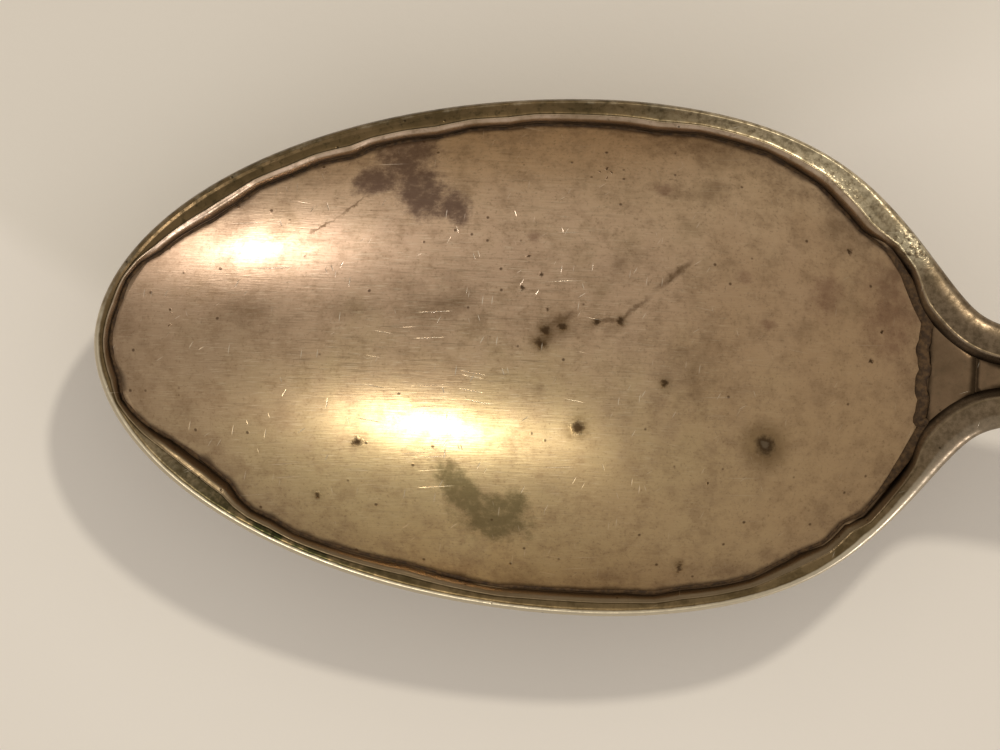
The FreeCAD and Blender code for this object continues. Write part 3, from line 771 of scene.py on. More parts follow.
# Stains, as (station, y, half length, half width, turn in degrees). SOFTNESS is how far each kind fades.
SOFTNESS = {"purple": 1.1, "green": 1.1, "red": 1.6, "brown": 1.8, "handled": 1.6}
STAINS = {
    "purple": [(18.0, 11.8, 1.7, 2.2, 0), (19.0, 9.6, 2.3, 1.5, -50), (16.2, 10.0, 1.4, 0.9, 15),
               (20.9, 8.6, 1.2, 0.9, -30)],
    "green": [(24.0, -10.1, 2.2, 1.3, -8), (22.2, -8.8, 2.3, 0.95, -47), (25.3, -9.4, 1.0, 1.0, 40),
              (24.2, -9.5, 1.1, 0.9, 0)],
    "red": [(43.6, 4.2, 1.0, 1.3, 0), (47.3, 3.4, 1.6, 3.0, 10), (38.8, 5.0, 0.5, 0.4, 0),
            (33.5, 10.2, 0.9, 0.4, -10), (40.4, 2.2, 0.4, 0.35, 0), (26.0, 6.9, 0.4, 0.3, 0)],
    "brown": [(25.5, -13.5, 1.5, 0.8, 5), (8.7, 1.7, 2.2, 1.5, 0), (31.2, 5.3, 1.2, 0.7, 10),
              (35.4, 13.2, 3.5, 0.8, -8), (26.7, -2.6, 0.5, 0.5, 0), (27.5, 1.2, 1.4, 1.0, 20),
              (15.0, 2.2, 1.6, 0.9, 0), (20.5, 2.6, 3.4, 1.6, 0), (35.9, -1.0, 2.2, 2.2, 0),
              (44.5, 8.0, 2.0, 1.2, -40)],
    "handled": [(20.0, 1.0, 14.0, 9.0, 0)],
}


def pan_levels():
    inner = [(1.0 - (1.0 - i / PAN_INNER_ROWS) ** 1.25, 1.0) for i in range(1, PAN_INNER_ROWS + 1)]
    outer = [(1.0 - i / PAN_OUTER_ROWS, 0.0) for i in range(PAN_OUTER_ROWS)]
    return inner + outer


def eased(value, low, high):
    part = min(max((value - low) / (high - low), 0.0), 1.0)
    return part * part * (3.0 - 2.0 * part)


def worn(x, y):
    """How far wear and knocks have pushed the inner face up or down."""
    height = 0.032 * wobble(x, y, 0, 8.0, 1) + 0.009 * wobble(x, y, 0, 2.2, 2)
    for station, side, radius, depth in DENTS:
        away = math.hypot(x - station, y - side) / radius
        if away < 3.0:
            height -= depth * math.exp(-away * away) - 0.35 * depth * math.exp(-(2.2 * (away - 1.5)) ** 2)
    return height


def stain(points, soft, patches):
    """1 at the heart of each patch, fading to 0 outside it, over uneven distances."""
    values = np.zeros(len(points))
    x, y = points[:, 0], points[:, 1]
    for station, side, half_length, half_width, turn in patches:
        c, s = math.cos(math.radians(turn)), math.sin(math.radians(turn))
        along = ((x - station) * c + (y - side) * s) / half_length
        across = (-(x - station) * s + (y - side) * c) / half_width
        away = np.hypot(along, across)
        for i in np.nonzero(away < 3.0)[0]:
            gap = away[i] + 0.30 * wobble(x[i], y[i], 0, 1.6, 20)
            values[i] = max(values[i], 1.0 - eased(gap, 1.0 - 0.6 * soft, 1.0 + 0.6 * soft))
    return values


def seam_gaps(points):
    """Distance of each point from the seam, seen from above, less where the tarnish has spread."""
    gaps = np.empty(len(points))
    for start in range(0, len(points), 4096):
        block = points[start:start + 4096, None, :2] - SEAM[None, :, :]
        gaps[start:start + 4096] = np.hypot(block[:, :, 0], block[:, :, 1]).min(1)
    near = np.nonzero(gaps < 4.0)[0]
    for i in near:
        x, y = points[i, :2]
        low_left = math.exp(-((x - 6.0) / 5.0) ** 2) * (y < 0)
        spread = (0.7 + 1.6 * low_left) * max(wobble(x, y, 0, 1.5, 9), 0.0) + 0.3 * wobble(x, y, 0, 0.5, 8)
        gaps[i] /= max(1.0 + spread, 0.4)
    return gaps


def bowl_pan(material):
    """The pan's inner and outer faces in one closed skin, worn and dented inside."""
    angles = np.linspace(0.0, 2.0 * math.pi, PAN_COLUMNS, endpoint=False)
    levels = pan_levels()
    rings = [np.stack(pan_points(angles, np.full(PAN_COLUMNS, level), wall), 1) for level, wall in levels]
    points = np.concatenate(rings + [[[PAN_DEEPEST, 0, PAN_FLOOR], [PAN_DEEPEST, 0, 0]]])
    inner = PAN_INNER_ROWS * PAN_COLUMNS
    for i in list(range(inner)) + [len(points) - 2]:
        points[i, 2] += worn(points[i, 0], points[i, 1])
    faces = loft_faces(len(levels), PAN_COLUMNS)
    last = (len(levels) - 1) * PAN_COLUMNS
    for c in range(PAN_COLUMNS):
        beside = (c + 1) % PAN_COLUMNS
        faces.append((c, beside, len(points) - 2))
        faces.append((last + c, last + beside, len(points) - 1))
    edge = inner + PAN_COLUMNS
    inside = np.zeros(len(points))
    inside[:edge] = 1.0
    inside[-2] = 1.0
    gaps = np.where(inside, 0.0, FAR)
    gaps[:inner] = seam_gaps(points[:inner])
    gaps[-2] = FAR
    stains = np.zeros((len(points), len(STAINS)))
    for k, (name, patches) in enumerate(STAINS.items()):
        stains[:inner, k] = stain(points[:inner], SOFTNESS[name], patches)
    skin = Batch("seam_gap", "inside", *STAINS)
    skin.points = np.column_stack([points, gaps, inside, stains])
    skin.faces = faces
    skin.build("bowl_pan_skin", "bowl_pan", material)


# The moulding's section as (inset from the outline, height over the crest), from its outer foot to
# just before the ridge. RIM_ is round the bowl, NECK_ along the ribs.
RIM_OUTER = [(0.14, -1.2), (0.0, -0.75), (0.01, -0.32), (0.10, -0.06), (0.22, 0.0), (0.34, -0.07),
             (0.46, -0.15), (0.62, -0.17)]
NECK_OUTER = [(0.14, -0.85), (0.0, -0.62), (0.03, -0.38), (0.16, -0.17), (0.42, -0.03), (0.8, 0.05),
              (1.1, 0.05), (1.3, 0.02)]


def moulding_profile(station, width, floor_drop):
    """The whole section, rounded: distance in, height, and how much is lip, ridge, slope and soot."""
    neck = eased(station, 43.0, 51.0)
    ridge = 0.60 * width
    rim = RIM_OUTER + [(ridge - 0.08, -0.15), (ridge, -0.07), (ridge + 0.08, -0.13),
                       (0.5 * (ridge + width), -0.32),
                       (width - 0.12, floor_drop + 0.14), (width, floor_drop - 0.03)]
    stem = NECK_OUTER + [(0.72 * width, -0.07), (0.77 * width, -0.05), (0.82 * width, -0.16),
                         (0.88 * width, -0.36), (0.95 * width, floor_drop + 0.16), (width, floor_drop - 0.03)]
    scale = width / band(station) if neck > 0.0 else 1.0
    stem = [(a * (1.0 if i < 3 else min(scale, 1.0)), h) for i, (a, h) in enumerate(stem)]
    controls = [((1 - neck) * a[0] + neck * b[0], (1 - neck) * a[1] + neck * b[1]) for a, b in zip(rim, stem)]
    lip = [0, 0.5, 1, 1, 1, 0.5, 0, 0, 0, 0, 0, 0, 0, 0]
    crease = [0, 0, 0, 0, 0, 0, 0, 0, 0.1, 1, 0.1, 0, 0, 0]
    slope = [0, 0, 0, 0, 0, 0, 0, 0, 0, 0.5, 1, 1, 1, 1]
    soot = [0.2, 0.1, 0, 0, 0, 0, 0, 0, 0, 0, 0, 0, 0.75, 1]
    rows = [c + marks for c, marks in zip(controls, zip(lip, crease, slope, soot))]
    return rounded(rows)


def moulding_ring(side, station, y, out, width, floor_drop, run):
    """One ring of the moulding, each point with the marks that its material reads."""
    top = crest(station)
    profile = moulding_profile(station, width, floor_drop)
    neck = eased(station, 46.0, 52.0)
    lower = eased(-side * run, -6.0, 6.0)
    verdigris = math.exp(-((run - 17.0) / 6.5) ** 2) * lower
    pitted = (math.exp(-((run - 57.3) / 1.2) ** 2) + 0.55 * math.exp(-((run - 51.5) / 2.6) ** 2)) * (side > 0)
    # Painted sheen on the upper right rim, and a lighter patch at the lower left.
    rub_and_sheen = math.exp(-((run - 50.0) / 8.0) ** 2) * (side > 0)
    rub_and_sheen += 0.35 * lower * math.exp(-((run - 9.0) / 4.0) ** 2)
    shaded = 0.9 * lower
    ring = []
    for a, h, lip, ridge, slope, soot in profile:
        x = station - out[0] * a
        across = (y - out[1] * a) * side
        h += 0.012 * wobble(x, across, 0, 1.2, 3) + 0.022 * wobble(x, across, 0, 4.0, 4)
        onto_lip = eased(h, -0.5, -0.1) if a < 0.4 else 1.0
        # The lip mark is weighted to the lower side: a painted highlight from the low lamp on top of real
        # wear.
        ring.append((x, across, top + h, lip * (0.3 + 0.7 * lower), ridge * (1.0 - 0.75 * lower), slope,
                     soot, verdigris, pitted * onto_lip * eased(a, 1.5, 1.1), neck * (1.0 - 0.5 * ridge),
                     shaded, rub_and_sheen))
    foot = profile[-1]
    for a, h in ((foot[0] - 0.1, foot[1] - 0.3), (0.5 * foot[0], min(foot[1] - 0.3, -1.1))):
        ring.append((station - out[0] * a, (y - out[1] * a) * side, top + h,
                     0, 0, 0, 1, 0, 0, neck, shaded, 0))
    return ring


MARK_NAMES = ("lip", "ridge", "slope", "soot", "verdigris", "pitted", "neck", "shaded", "rub_and_sheen")


def rim_ring(side, sample):
    t, station, y, out_x, out_y, run = sample
    width = seam_inset(side, run)
    width += (band(station) - width) * eased(run, 59.0, 62.0)
    lip_x = station - out_x * width
    lip_y = y - out_y * width
    floor_drop = bowl_floor(lip_x, lip_y) - crest(station) if lip_x < WEB_START else -CHANNEL_DROP
    blend = eased(run, 58.0, 62.0)
    floor_drop = min(floor_drop, -0.5) * (1.0 - blend) - CHANNEL_DROP * blend
    return moulding_ring(side, station, y, (out_x, out_y), width, floor_drop, run)


def bowl_rim(material):
    rings = [rim_ring(-1, sample) for sample in RIM_RUN[::-1]]
    rings += [rim_ring(1, sample) for sample in RIM_RUN[1:]]
    build_tube("bowl_rim_moulding", "bowl_rim", material, rings, *MARK_NAMES)


def stem_rib(side, node, material):
    rings = []
    run = RIM_RUN[-1, 5]
    for station in np.linspace(RIM_END, STEM_END, 260):
        rings.append(moulding_ring(side, station, shoulder(station), (0.0, 1.0), band(station),
                                   -CHANNEL_DROP, run + station - RIM_END))
    build_tube(node + "_moulding", node, material, rings, *MARK_NAMES)


def solder_seam(material):
    """An uneven bead of tarnished solder along the moulding's inner lip."""
    ahead = np.roll(SEAM, -1, 0) - np.roll(SEAM, 1, 0)
    ahead /= np.hypot(ahead[:, 0], ahead[:, 1])[:, None]
    inward = np.stack([-ahead[:, 1], ahead[:, 0]], 1)
    rings = []
    for (x, y), (in_x, in_y) in zip(SEAM, inward):
        blob = math.exp(-((x - 6.0) / 4.5) ** 2) * (y < 0)
        crossing = eased(x, 46.5, 49.0)
        ripple = 0.04 * wobble(x, y, 0, 1.3, 5) + 0.035 * wobble(x, y, 0, 0.4, 6)
        width = 0.105 + ripple * (1.0 - 0.75 * crossing)
        width += 0.10 * blob * max(wobble(x, y, 0, 0.9, 7), -0.3) + 0.26 * crossing
        z = bowl_floor(x, y) + 0.02 + 0.10 * crossing
        thick = 0.07 + 0.06 * crossing
        ring = []
        for angle in circle(12):
            reach = width * math.cos(angle)
            ring.append((x + in_x * reach, y + in_y * reach, z + thick * math.sin(angle)))
        rings.append(ring)
    build_tube("rim_solder_bead", "rim_solder_seam", material, rings, looped=True)


# ---------------------------------------------------------------- neck, stem and heel

WEB_DROP = 0.45
WEB_HALF_WIDTHS = (4.2, 1.6)
CORE_START = 49.6

# The heel's cross-sections: (station, half width, how proud of the bowl it stands)
HEEL_SECTIONS = ((39.0, 0.5, 0.05), (41.0, 1.5, 0.35), (44.0, 2.4, 0.6), (47.0, 2.9, 0.8), (49.5, 3.0, 0.8))


def neck_web(material):
    """The sunken three-cornered plate between the ribs, dished, with tarnish round its edge."""
    rings = []
    for along in np.linspace(0.0, 1.0, 41):
        station = WEB_START + (WEB_END - WEB_START) * along
        half = WEB_HALF_WIDTHS[0] + (WEB_HALF_WIDTHS[1] - WEB_HALF_WIDTHS[0]) * along
        top = crest(station) - WEB_DROP
        end_gap = 3.0 * min(abs(along - 0.02), 1.0 - along)
        ring = []
        for y in half * np.linspace(-1.0, 1.0, 49):
            gap = min(max(half - 0.55 - abs(y), 0.0), end_gap)
            dish = 0.12 * math.exp(-(gap / 0.35) ** 2) + 0.016 * wobble(station, y, 0, 0.8, 11)
            ring.append((station, y, top - dish, 0.95 * math.exp(-(gap / 0.42) ** 2)))
        rings.append(ring + [(station, half, top - 0.5, 1), (station, -half, top - 0.5, 1)])
    build_tube("neck_web_plate", "neck_web", material, rings, "hollow")


def stem_core(material):
    """A strip with a sunken channel along its front, and a rounded back."""
    rings = []
    for station in np.linspace(CORE_START, STEM_END, 280):
        half = shoulder(station) - 0.1
        top = crest(station) - CHANNEL_DROP
        lip = max(shoulder(station) - band(station), 0.2)
        line = math.exp(-((station - WEB_END - 0.1) / 0.16) ** 2)
        ring = []
        for y in half * np.linspace(1.0, -1.0, 21):
            hollow = max(math.exp(-(max(lip - abs(y), 0.0) / 0.28) ** 2), line)
            ring.append((station, y, top + 0.01 * wobble(station, y, 0, 1.5, 12), hollow, 0))
        for angle in half_circle(24):
            y = -half * math.cos(angle)
            bulge = (core_depth(station) - 0.45) * max(math.sin(angle), 0.0) ** 0.8
            wavy = 0.012 * wobble(station, -y, 5, 2.0, 13)
            ring.append((station, y * (1.0 + 0.012 * math.sin(2 * angle) ** 2), top - 0.45 - bulge + wavy,
                         0.15, 1))
        rings.append(ring)
    build_tube("stem_core_strip", "stem_core", material, rings, "hollow", "back")


def bowl_heel(material):
    """The drop: a tapering tongue on the bowl's back, where the stem laps onto it."""
    stations, halves, heights = zip(*HEEL_SECTIONS)
    rings = []
    for station in np.linspace(stations[0], stations[-1], 60):
        half = np.interp(station, stations, halves)
        proud = np.interp(station, stations, heights)
        level = (station - PAN_DEEPEST) / (BOWL_END - PAN_DEEPEST)
        under = float(pan_points(math.pi, level, 0.0)[2])
        ring = []
        for k, angle in enumerate(half_circle(24)):
            hollow = 0.8 * math.exp(-(k / 1.5) ** 2) + 0.8 * math.exp(-((24 - k) / 1.5) ** 2)
            ring.append((station, half * math.cos(angle), under - proud * math.sin(angle) ** 0.8, hollow, 1))
        ring += [(station, -0.9 * half, under + 0.3, 1, 1), (station, 0.9 * half, under + 0.3, 1, 1)]
        rings.append(ring)
    build_tube("bowl_heel_drop", "bowl_heel", material, rings, "hollow", "back")


# ---------------------------------------------------------------- terminal

PLATE_START = 3.9
BADGE_CENTRE = 14.2
BADGE_RADIUS = 6.6
BEZEL_WALL = 0.7
BEZEL_TOP = PLATE_THICKNESS + 1.25
BEZEL_TEETH = 72
SPRAY_RADIUS = 7.7
SPRAY_HALF_ANGLE = math.radians(52.0)
SPRAY_HALF_WIDTH = 0.75
LEAF_PAIRS = 10
LEAF_TURN = math.radians(26.0)
SHELL_HINGE = 25.2
SHELL_HALF_ANGLE = math.radians(70.0)
SHELL_FLUTES = 7
SHELL_LOBE = 0.5
SHELL_HEART = 0.25

# One side of the plate's edge as (along, across), and its far end
OVAL_SIDE = [(0, PLATE_START), (2.5, 4.7), (5.2, 6.9), (8.8, 9.2), (13.2, 10.3), (18, 10.0), (22.6, 8.3),
             (26.2, 5.6), (28.3, 2.7)]
OVAL_END = (28.9, 0.0)


def on_handle(u, v, w, *values):
    """A point of the terminal's own frame, in the spoon's: u along, v across, w out from the back."""
    station = STEM_END - PLATE_THICKNESS * SIN + u * COS + w * SIN
    z = crest(STEM_END) - CHANNEL_DROP - PLATE_THICKNESS * COS - u * SIN + w * COS
    return (station, v, max(z, 0.0)) + values


def oval(count):
    """The terminal's edge from one corner of the stem's end round to the other."""
    controls = np.array(OVAL_SIDE + [OVAL_END] + [(u, -v) for u, v in reversed(OVAL_SIDE)], float)
    lengths = np.concatenate([[0.0], np.cumsum(np.hypot(*np.diff(controls, axis=0).T))])
    marks = np.linspace(0.0, lengths[-1], count)
    return np.stack([cubic(np.stack([lengths, controls[:, k]], 1))(marks) for k in range(2)], 1)


OVAL = oval(361)
OVAL_NORMALS = np.gradient(OVAL, axis=0)
OVAL_NORMALS = np.stack([OVAL_NORMALS[:, 1], -OVAL_NORMALS[:, 0]], 1)
OVAL_NORMALS /= np.hypot(OVAL_NORMALS[:, 0], OVAL_NORMALS[:, 1])[:, None]


def plate_hollow(u, v):
    """How deep in shade of the ornament a point of the plate's face lies."""
    radius = math.hypot(u - BADGE_CENTRE, v)
    angle = abs(math.atan2(u - BADGE_CENTRE, abs(v)))
    edge = float(np.hypot(OVAL[:, 0] - u, OVAL[:, 1] - v).min()) - 1.5
    past_end = max(angle - SPRAY_HALF_ANGLE, 0.0) * SPRAY_RADIUS
    spray = math.hypot(max(abs(radius - SPRAY_RADIUS) - 0.5, 0.0), past_end)
    gap = max(min(abs(radius - BADGE_RADIUS), edge, spray), 0.0)
    return 0.25 + 0.75 * math.exp(-(gap / 0.7) ** 2)


def terminal_plate(material):
    """The oval plate, its face flat but for a slight unevenness."""
    straight = [(0.0, v) for v in np.linspace(-PLATE_START, PLATE_START, 25)[1:-1]]
    loop = np.concatenate([OVAL, straight])
    middle = np.array([BADGE_CENTRE, 0.0])
    profile = [(f, 0.0) for f in np.linspace(0.03, 0.975, 14)]
    profile += [(0.99, 0.05), (1.0, 0.2), (1.0, 1.1), (0.995, PLATE_THICKNESS)]
    profile += [(f, PLATE_THICKNESS) for f in np.linspace(0.97, 0.03, 44)]
    rings = []
    for f, w in profile:
        face = w == PLATE_THICKNESS and f < 0.98
        ring = []
        for u, v in middle + (loop - middle) * f:
            lift = 0.012 * wobble(u, v, w, 1.6, 14) if f < 0.97 else 0.0
            ring.append(on_handle(u, v, w + lift, plate_hollow(u, v) if face else 0.1))
        rings.append(ring)
    build_tube("terminal_oval_plate", "terminal_plate", material, rings, "hollow")


# The border's section: (distance in from the edge, height over the plate, lip, soot)
BORDER_SECTION = [(0.0, -0.04, 0.2, 0.6), (0.0, 0.3, 0.6, 0), (0.10, 0.56, 1, 0), (0.30, 0.74, 1, 0),
                  (0.52, 0.80, 1, 0), (0.74, 0.74, 0.6, 0), (0.88, 0.60, 0, 0.6), (0.98, 0.56, 0, 0.9),
                  (1.08, 0.62, 0.3, 0.1), (1.20, 0.60, 0.3, 0.1), (1.34, 0.42, 0, 0.2),
                  (1.46, 0.14, 0, 0.7), (1.5, -0.04, 0, 1)]
BORDER_END_ANGLE = math.radians(71.0)


def terminal_border(side, node, material):
    """The strip along one side of the oval, from the stem to the shell."""
    rows = rounded(BORDER_SECTION)
    rings = []
    for (u, v), inward in zip(OVAL[:len(OVAL) // 2], OVAL_NORMALS):
        if u > SHELL_HINGE and math.atan2(v, u - SHELL_HINGE) < BORDER_END_ANGLE:
            break
        if inward[1] > 0 and v > 1.0:
            inward = -inward
        ring = []
        for a, h, lip, soot in rows:
            pu = u + inward[0] * a
            pv = (v + inward[1] * a) * side
            lift = 0.012 * wobble(pu, pv, 0, 1.5, 15)
            ring.append(on_handle(pu, pv, PLATE_THICKNESS + h + lift, 0.5 * lip, soot))
        rings.append(ring)
    build_tube(node + "_moulding", node, material, rings, "lip", "soot")


def on_shell(angle, reach, w, hollow):
    """A point of the shell's fan, at an angle and a distance from its hinge."""
    u = SHELL_HINGE - 0.6 + (reach + 0.6) * math.cos(angle)
    return on_handle(u, reach * math.sin(angle), w, hollow)


def shell_finial(material):
    """A scallop shell: seven rounded flutes that fan out from a hinge over the plate's end."""
    step = 2.0 * SHELL_HALF_ANGLE / SHELL_FLUTES
    rings = []
    for turn in np.linspace(-1.0, 1.0, 225):
        angle = SHELL_HALF_ANGLE * turn
        phase = ((angle + SHELL_HALF_ANGLE) / step) % 1.0
        lobe = max(math.sin(math.pi * phase), 0.0) ** 0.6
        edge = TERMINAL_END - SHELL_HINGE - SHELL_LOBE
        edge += SHELL_LOBE * 2.0 * math.sqrt(max(phase - phase * phase, 0.0))
        edge *= 1.0 - 0.05 * turn ** 2
        ring = []
        for part in np.linspace(0.0, 1.0, 37):
            dome = 0.55 + 0.38 * math.sin(math.pi * min(part * 0.85 + 0.1, 1.0))
            ripple = 0.30 * part ** 0.6 * (lobe - 0.55)
            growth = 0.035 * math.sin(2.0 * math.pi * part * 6.0) * part
            w = PLATE_THICKNESS + dome + ripple + growth - 0.42 * eased(part, 0.9, 1.0)
            hollow = 0.9 * (1.0 - lobe) ** 1.5 * min(part * 3.0, 1.0) + 0.25 * (1.0 - part)
            ring.append(on_shell(angle, SHELL_HEART + (edge - SHELL_HEART) * part, min(w, 2.28), hollow))
        for part in np.linspace(1.0, 0.0, 13):
            ring.append(on_shell(angle, SHELL_HEART + (edge - 0.08 - SHELL_HEART) * part, 0.06, 0.2))
        rings.append(ring)
    shell = Batch("hollow")
    shell.tube(rings)
    hinge = []
    for part in np.linspace(-1.0, 1.0, 33):
        v = 1.7 * part
        curl = math.sqrt(max(1.0 - (v / 1.72) ** 2, 0.02))
        hinge.append([on_handle(SHELL_HINGE - 0.45 + 0.62 * curl * math.cos(turn), v,
                                PLATE_THICKNESS + 0.42 + 0.5 * curl * math.sin(turn), 0.15)
                      for turn in circle(16)])
    shell.tube(hinge)
    shell.build("shell_finial_fan", "shell_finial", material)


def leaf(batch, u, v, heading, length, width, height):
    """A pointed leaf with a sunk midrib, lying on the plate."""
    rings = []
    for along in np.linspace(0.0, 1.0, 13):
        spread = max(math.sin(math.pi * along ** 0.85), 0.03)
        half = width * spread
        ring = []
        for across in np.linspace(-1.0, 1.0, 9):
            rise = height * spread ** 0.7 * (1.0 - across ** 2)
            rise -= 0.10 * math.exp(-(across / 0.18) ** 2) * spread
            ring.append((across * half, rise, 0.8 * math.exp(-(across / 0.25) ** 2) + 0.5 * across ** 4))
        run = (along - 0.5) * length
        rings.append([on_handle(u + run * math.cos(heading) - b * math.sin(heading),
                                v + run * math.sin(heading) + b * math.cos(heading), PLATE_THICKNESS + h,
                                hollow)
                      for b, h, hollow in ring + [(0.7 * half, -0.05, 1.0), (-0.7 * half, -0.05, 1.0)]])
    batch.tube(rings)


def berry(batch, u, v, radius):
    rings = []
    for i in range(9):
        turn = math.pi * (i + 0.02) / 8.04
        flat = radius * math.sin(turn)
        w = PLATE_THICKNESS + 0.15 + radius * math.cos(turn)
        rings.append([on_handle(u + flat * math.cos(angle), v + flat * math.sin(angle), w, 0.1)
                      for angle in circle(12)])
    batch.tube(rings)


def round_badge(angle, radius):
    """A place on the plate at an angle and a distance from the badge's centre."""
    return BADGE_CENTRE + radius * math.sin(angle), radius * math.cos(angle)


def laurel_spray(side, node, material):
    """A spray of paired leaves and berries on a stalk that hugs the badge."""
    spray = Batch("hollow")

    def at(angle, radius):
        u, v = round_badge(angle, radius)
        return u, side * v

    stalk = []
    for part in np.linspace(0.0, 1.0, 61):
        angle = SPRAY_HALF_ANGLE * 0.97 * (2.0 * part - 1.0)
        thick = 0.13 * (1.0 - 0.5 * part) + 0.02
        stalk.append([on_handle(*at(angle, SPRAY_RADIUS + thick * math.cos(turn)),
                                PLATE_THICKNESS + 0.1 + thick * math.sin(turn), 0.3)
                      for turn in circle(10)])
    spray.tube(stalk)
    for i in range(LEAF_PAIRS):
        angle = SPRAY_HALF_ANGLE * (1.76 * (i + 0.5) / LEAF_PAIRS - 0.88)
        room = SPRAY_HALF_WIDTH * math.sqrt(max(1.0 - (angle / SPRAY_HALF_ANGLE) ** 2, 0.1))
        along = math.atan2(-side * math.sin(angle), math.cos(angle))
        for turn in (-1, 1):
            u, v = at(angle + 0.02 * turn, SPRAY_RADIUS + turn * 0.48 * room)
            leaf(spray, u, v, along + turn * side * LEAF_TURN, 1.75, 0.42 * room + 0.06, 0.42)
        if i % 2:
            berry(spray, *at(angle + 0.075, SPRAY_RADIUS + 0.05), 0.19)
    end = math.atan2(-side * math.sin(SPRAY_HALF_ANGLE), math.cos(SPRAY_HALF_ANGLE))
    leaf(spray, *at(SPRAY_HALF_ANGLE * 0.95, SPRAY_RADIUS), end, 1.5, 0.28, 0.38)
    spray.build(node + "_leaves", node, material)


BEZEL_INSIDE = BADGE_RADIUS - BEZEL_WALL + 0.01

# The bezel's section: (radius, height over the plate's back, lip, soot)
BEZEL_SECTION = [(BADGE_RADIUS, 1.28, 0.2, 0.9), (BADGE_RADIUS, 1.6, 0.5, 0.3), (6.55, 1.9, 0, 0.7),
                 (6.56, 2.1, 0.4, 0), (6.5, 2.35, 1, 0), (6.32, BEZEL_TOP - 0.02, 1, 0),
                 (6.15, BEZEL_TOP - 0.08, 0.8, 0), (6.05, 2.3, 0.2, 0.6),
                 (BEZEL_INSIDE + 0.01, 2.18, 0.2, 0.5), (BEZEL_INSIDE, 1.9, 0, 0.8),
                 (BEZEL_INSIDE, 1.28, 0, 1)]


def badge_bezel(material):
    """The ring that holds the badge, rounded outside, with a milled lip inside."""
    rows = rounded(BEZEL_SECTION)
    rings = []
    for angle in circle(BEZEL_TEETH * 8):
        tooth = 0.5 + 0.5 * math.cos(BEZEL_TEETH * angle)
        ring = []
        for r, w, lip, soot in rows:
            milled = eased(6.3 - r, 0.0, 0.25) * eased(w, 1.8, 2.1)
            u, v = round_badge(angle, r + 0.05 * milled * tooth)
            ring.append(on_handle(u, v, w - 0.07 * milled * (1.0 - tooth), 0.6 * lip, soot))
        rings.append(ring)
    build_tube("badge_bezel_ring", "badge_bezel", material, rings, "lip", "soot", looped=True)


# ---------------------------------------------------------------- table, lights, camera

FLOOR_SIDE = 1500.0
FLOOR_LINES = 41

# What the camera looks at, and how much of it the view takes in from side to side
VIEW_WIDTH = 59.5238
VIEW_STATION = 24.2
VIEW_Y = -1.15
VIEW_HEIGHT = 9.0
VIEW_DISTANCE = 230.0
VIEW_TILT = math.radians(4.0)
VIEW_ROLL = math.radians(2.2)


def table_top(material):
    """A flat square floor in a grid of faces."""
    marks = np.linspace(-0.5, 0.5, FLOOR_LINES) * FLOOR_SIDE * MM
    faces = loft_faces(FLOOR_LINES, FLOOR_LINES, closed_columns=False)
    mesh = bpy.data.meshes.new("table_top")
    mesh.from_pydata([(x, y, 0.0) for x in marks for y in marks], [], [face[::-1] for face in faces])
    mesh.materials.append(material)
    floor = bpy.data.objects.new("table_top", mesh)
    bpy.context.scene.collection.objects.link(floor)


def view_target():
    return Vector((VIEW_STATION + TIP_X, VIEW_Y, VIEW_HEIGHT)) * MM


def lamp(name, direction, distance, size, power, color):
    """A round soft lamp that shines at the bowl from a direction, at a distance in millimetres."""
    data = bpy.data.lights.new(name, "AREA")
    data.shape = "DISK"
    data.size = size * MM
    data.energy = power
    data.color = color
    towards = Vector(direction).normalized()
    light = bpy.data.objects.new(name, data)
    light.location = view_target() + towards * distance * MM
    light.rotation_mode = "QUATERNION"
    light.rotation_quaternion = towards.to_track_quat("Z", "Y")
    bpy.context.scene.collection.objects.link(light)


def lights():
    world = bpy.data.worlds.new("room")
    world.use_nodes = True
    background = world.node_tree.nodes["Background"]
    background.inputs["Color"].default_value = (1.0, 0.92, 0.82, 1.0)
    background.inputs["Strength"].default_value = 0.58
    bpy.context.scene.world = world
    lamp("low_lamp", (0.568, -0.725, 0.391), 700, 70, 0.95, (1.0, 0.94, 0.95))
    lamp("key_lamp", (0.27, 0.565, 0.774), 700, 46, 1.5, (1.0, 0.93, 0.80))


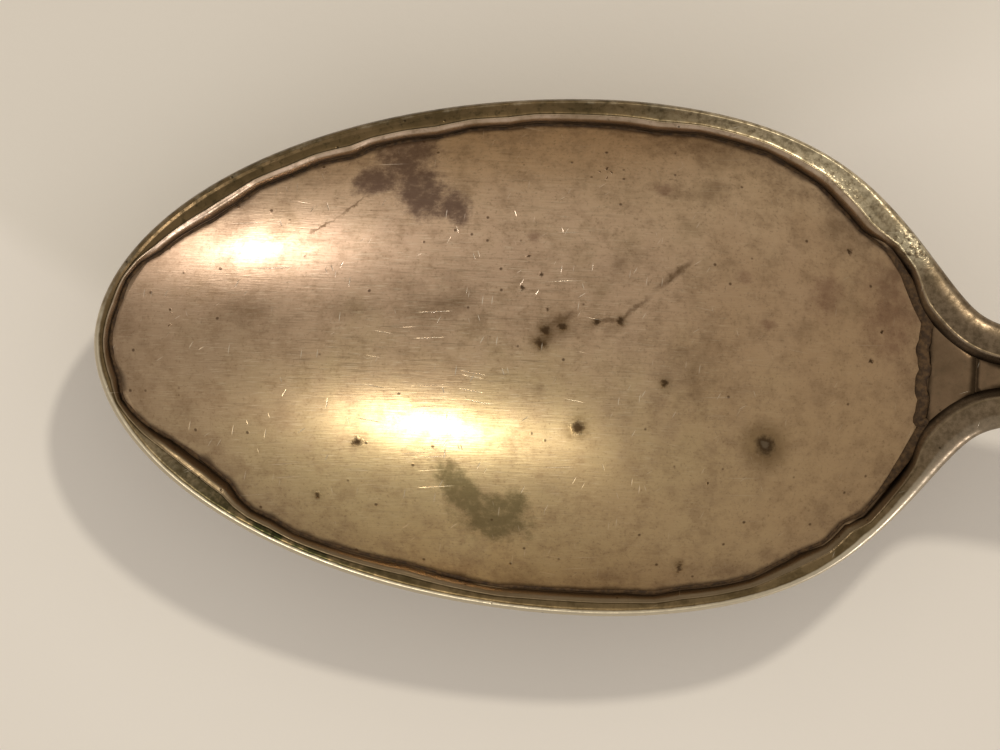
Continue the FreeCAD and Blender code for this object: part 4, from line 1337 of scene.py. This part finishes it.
def camera():
    data = bpy.data.cameras.new("camera")
    data.sensor_width = 36.0
    data.lens = data.sensor_width * VIEW_DISTANCE / VIEW_WIDTH
    data.clip_start = 0.01
    data.clip_end = 10.0
    eye = bpy.data.objects.new("camera", data)
    back = Vector((0.0, math.sin(VIEW_TILT), math.cos(VIEW_TILT)))
    level_up = Vector((0.0, math.cos(VIEW_TILT), -math.sin(VIEW_TILT)))
    level_right = Vector((1.0, 0.0, 0.0))
    right = level_right * math.cos(VIEW_ROLL) + level_up * math.sin(VIEW_ROLL)
    up = level_up * math.cos(VIEW_ROLL) - level_right * math.sin(VIEW_ROLL)
    basis = Matrix((right, up, back)).transposed()
    eye.matrix_world = Matrix.Translation(view_target() + back * VIEW_DISTANCE * MM) @ basis.to_4x4()
    bpy.context.scene.collection.objects.link(eye)
    bpy.context.scene.camera = eye
    bpy.context.scene.view_settings.view_transform = "Standard"


def dress(node, material):
    """Gives a CAD node its finish."""
    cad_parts[node].data.materials.clear()
    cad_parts[node].data.materials.append(material)


ENAMELS = {
    "lake": ("blue", (0.02, 0.10, 0.42), (0.01, 0.04, 0.22)),
    "hills": ("green", (0.04, 0.22, 0.07), (0.015, 0.10, 0.035)),
    "sky": ("teal", (0.22, 0.55, 0.62), (0.12, 0.38, 0.50)),
    "sun": ("yellow", (0.85, 0.52, 0.06), (0.62, 0.30, 0.03))}

moulded = moulding_material()
stem = stem_material()
chased = terminal_material()
bowl_pan(bowl_material())
bowl_rim(moulded)
solder_seam(seam_material())
neck_web(stem)
stem_core(stem)
bowl_heel(stem)
terminal_plate(chased)
shell_finial(chased)
badge_bezel(moulded)
for side, name in ((1, "left"), (-1, "right")):
    stem_rib(side, "stem_rib_" + name, moulded)
    terminal_border(side, "terminal_border_" + name, moulded)
    laurel_spray(side, "laurel_spray_" + name, chased)
dress("badge_disc", copper_material())
dress("badge_wires", wire_material())
for place, (hue, light, deep) in ENAMELS.items():
    dress("enamel_" + place, enamel_material("enamel_" + hue, light, deep))
table_top(floor_material())
lights()
camera()
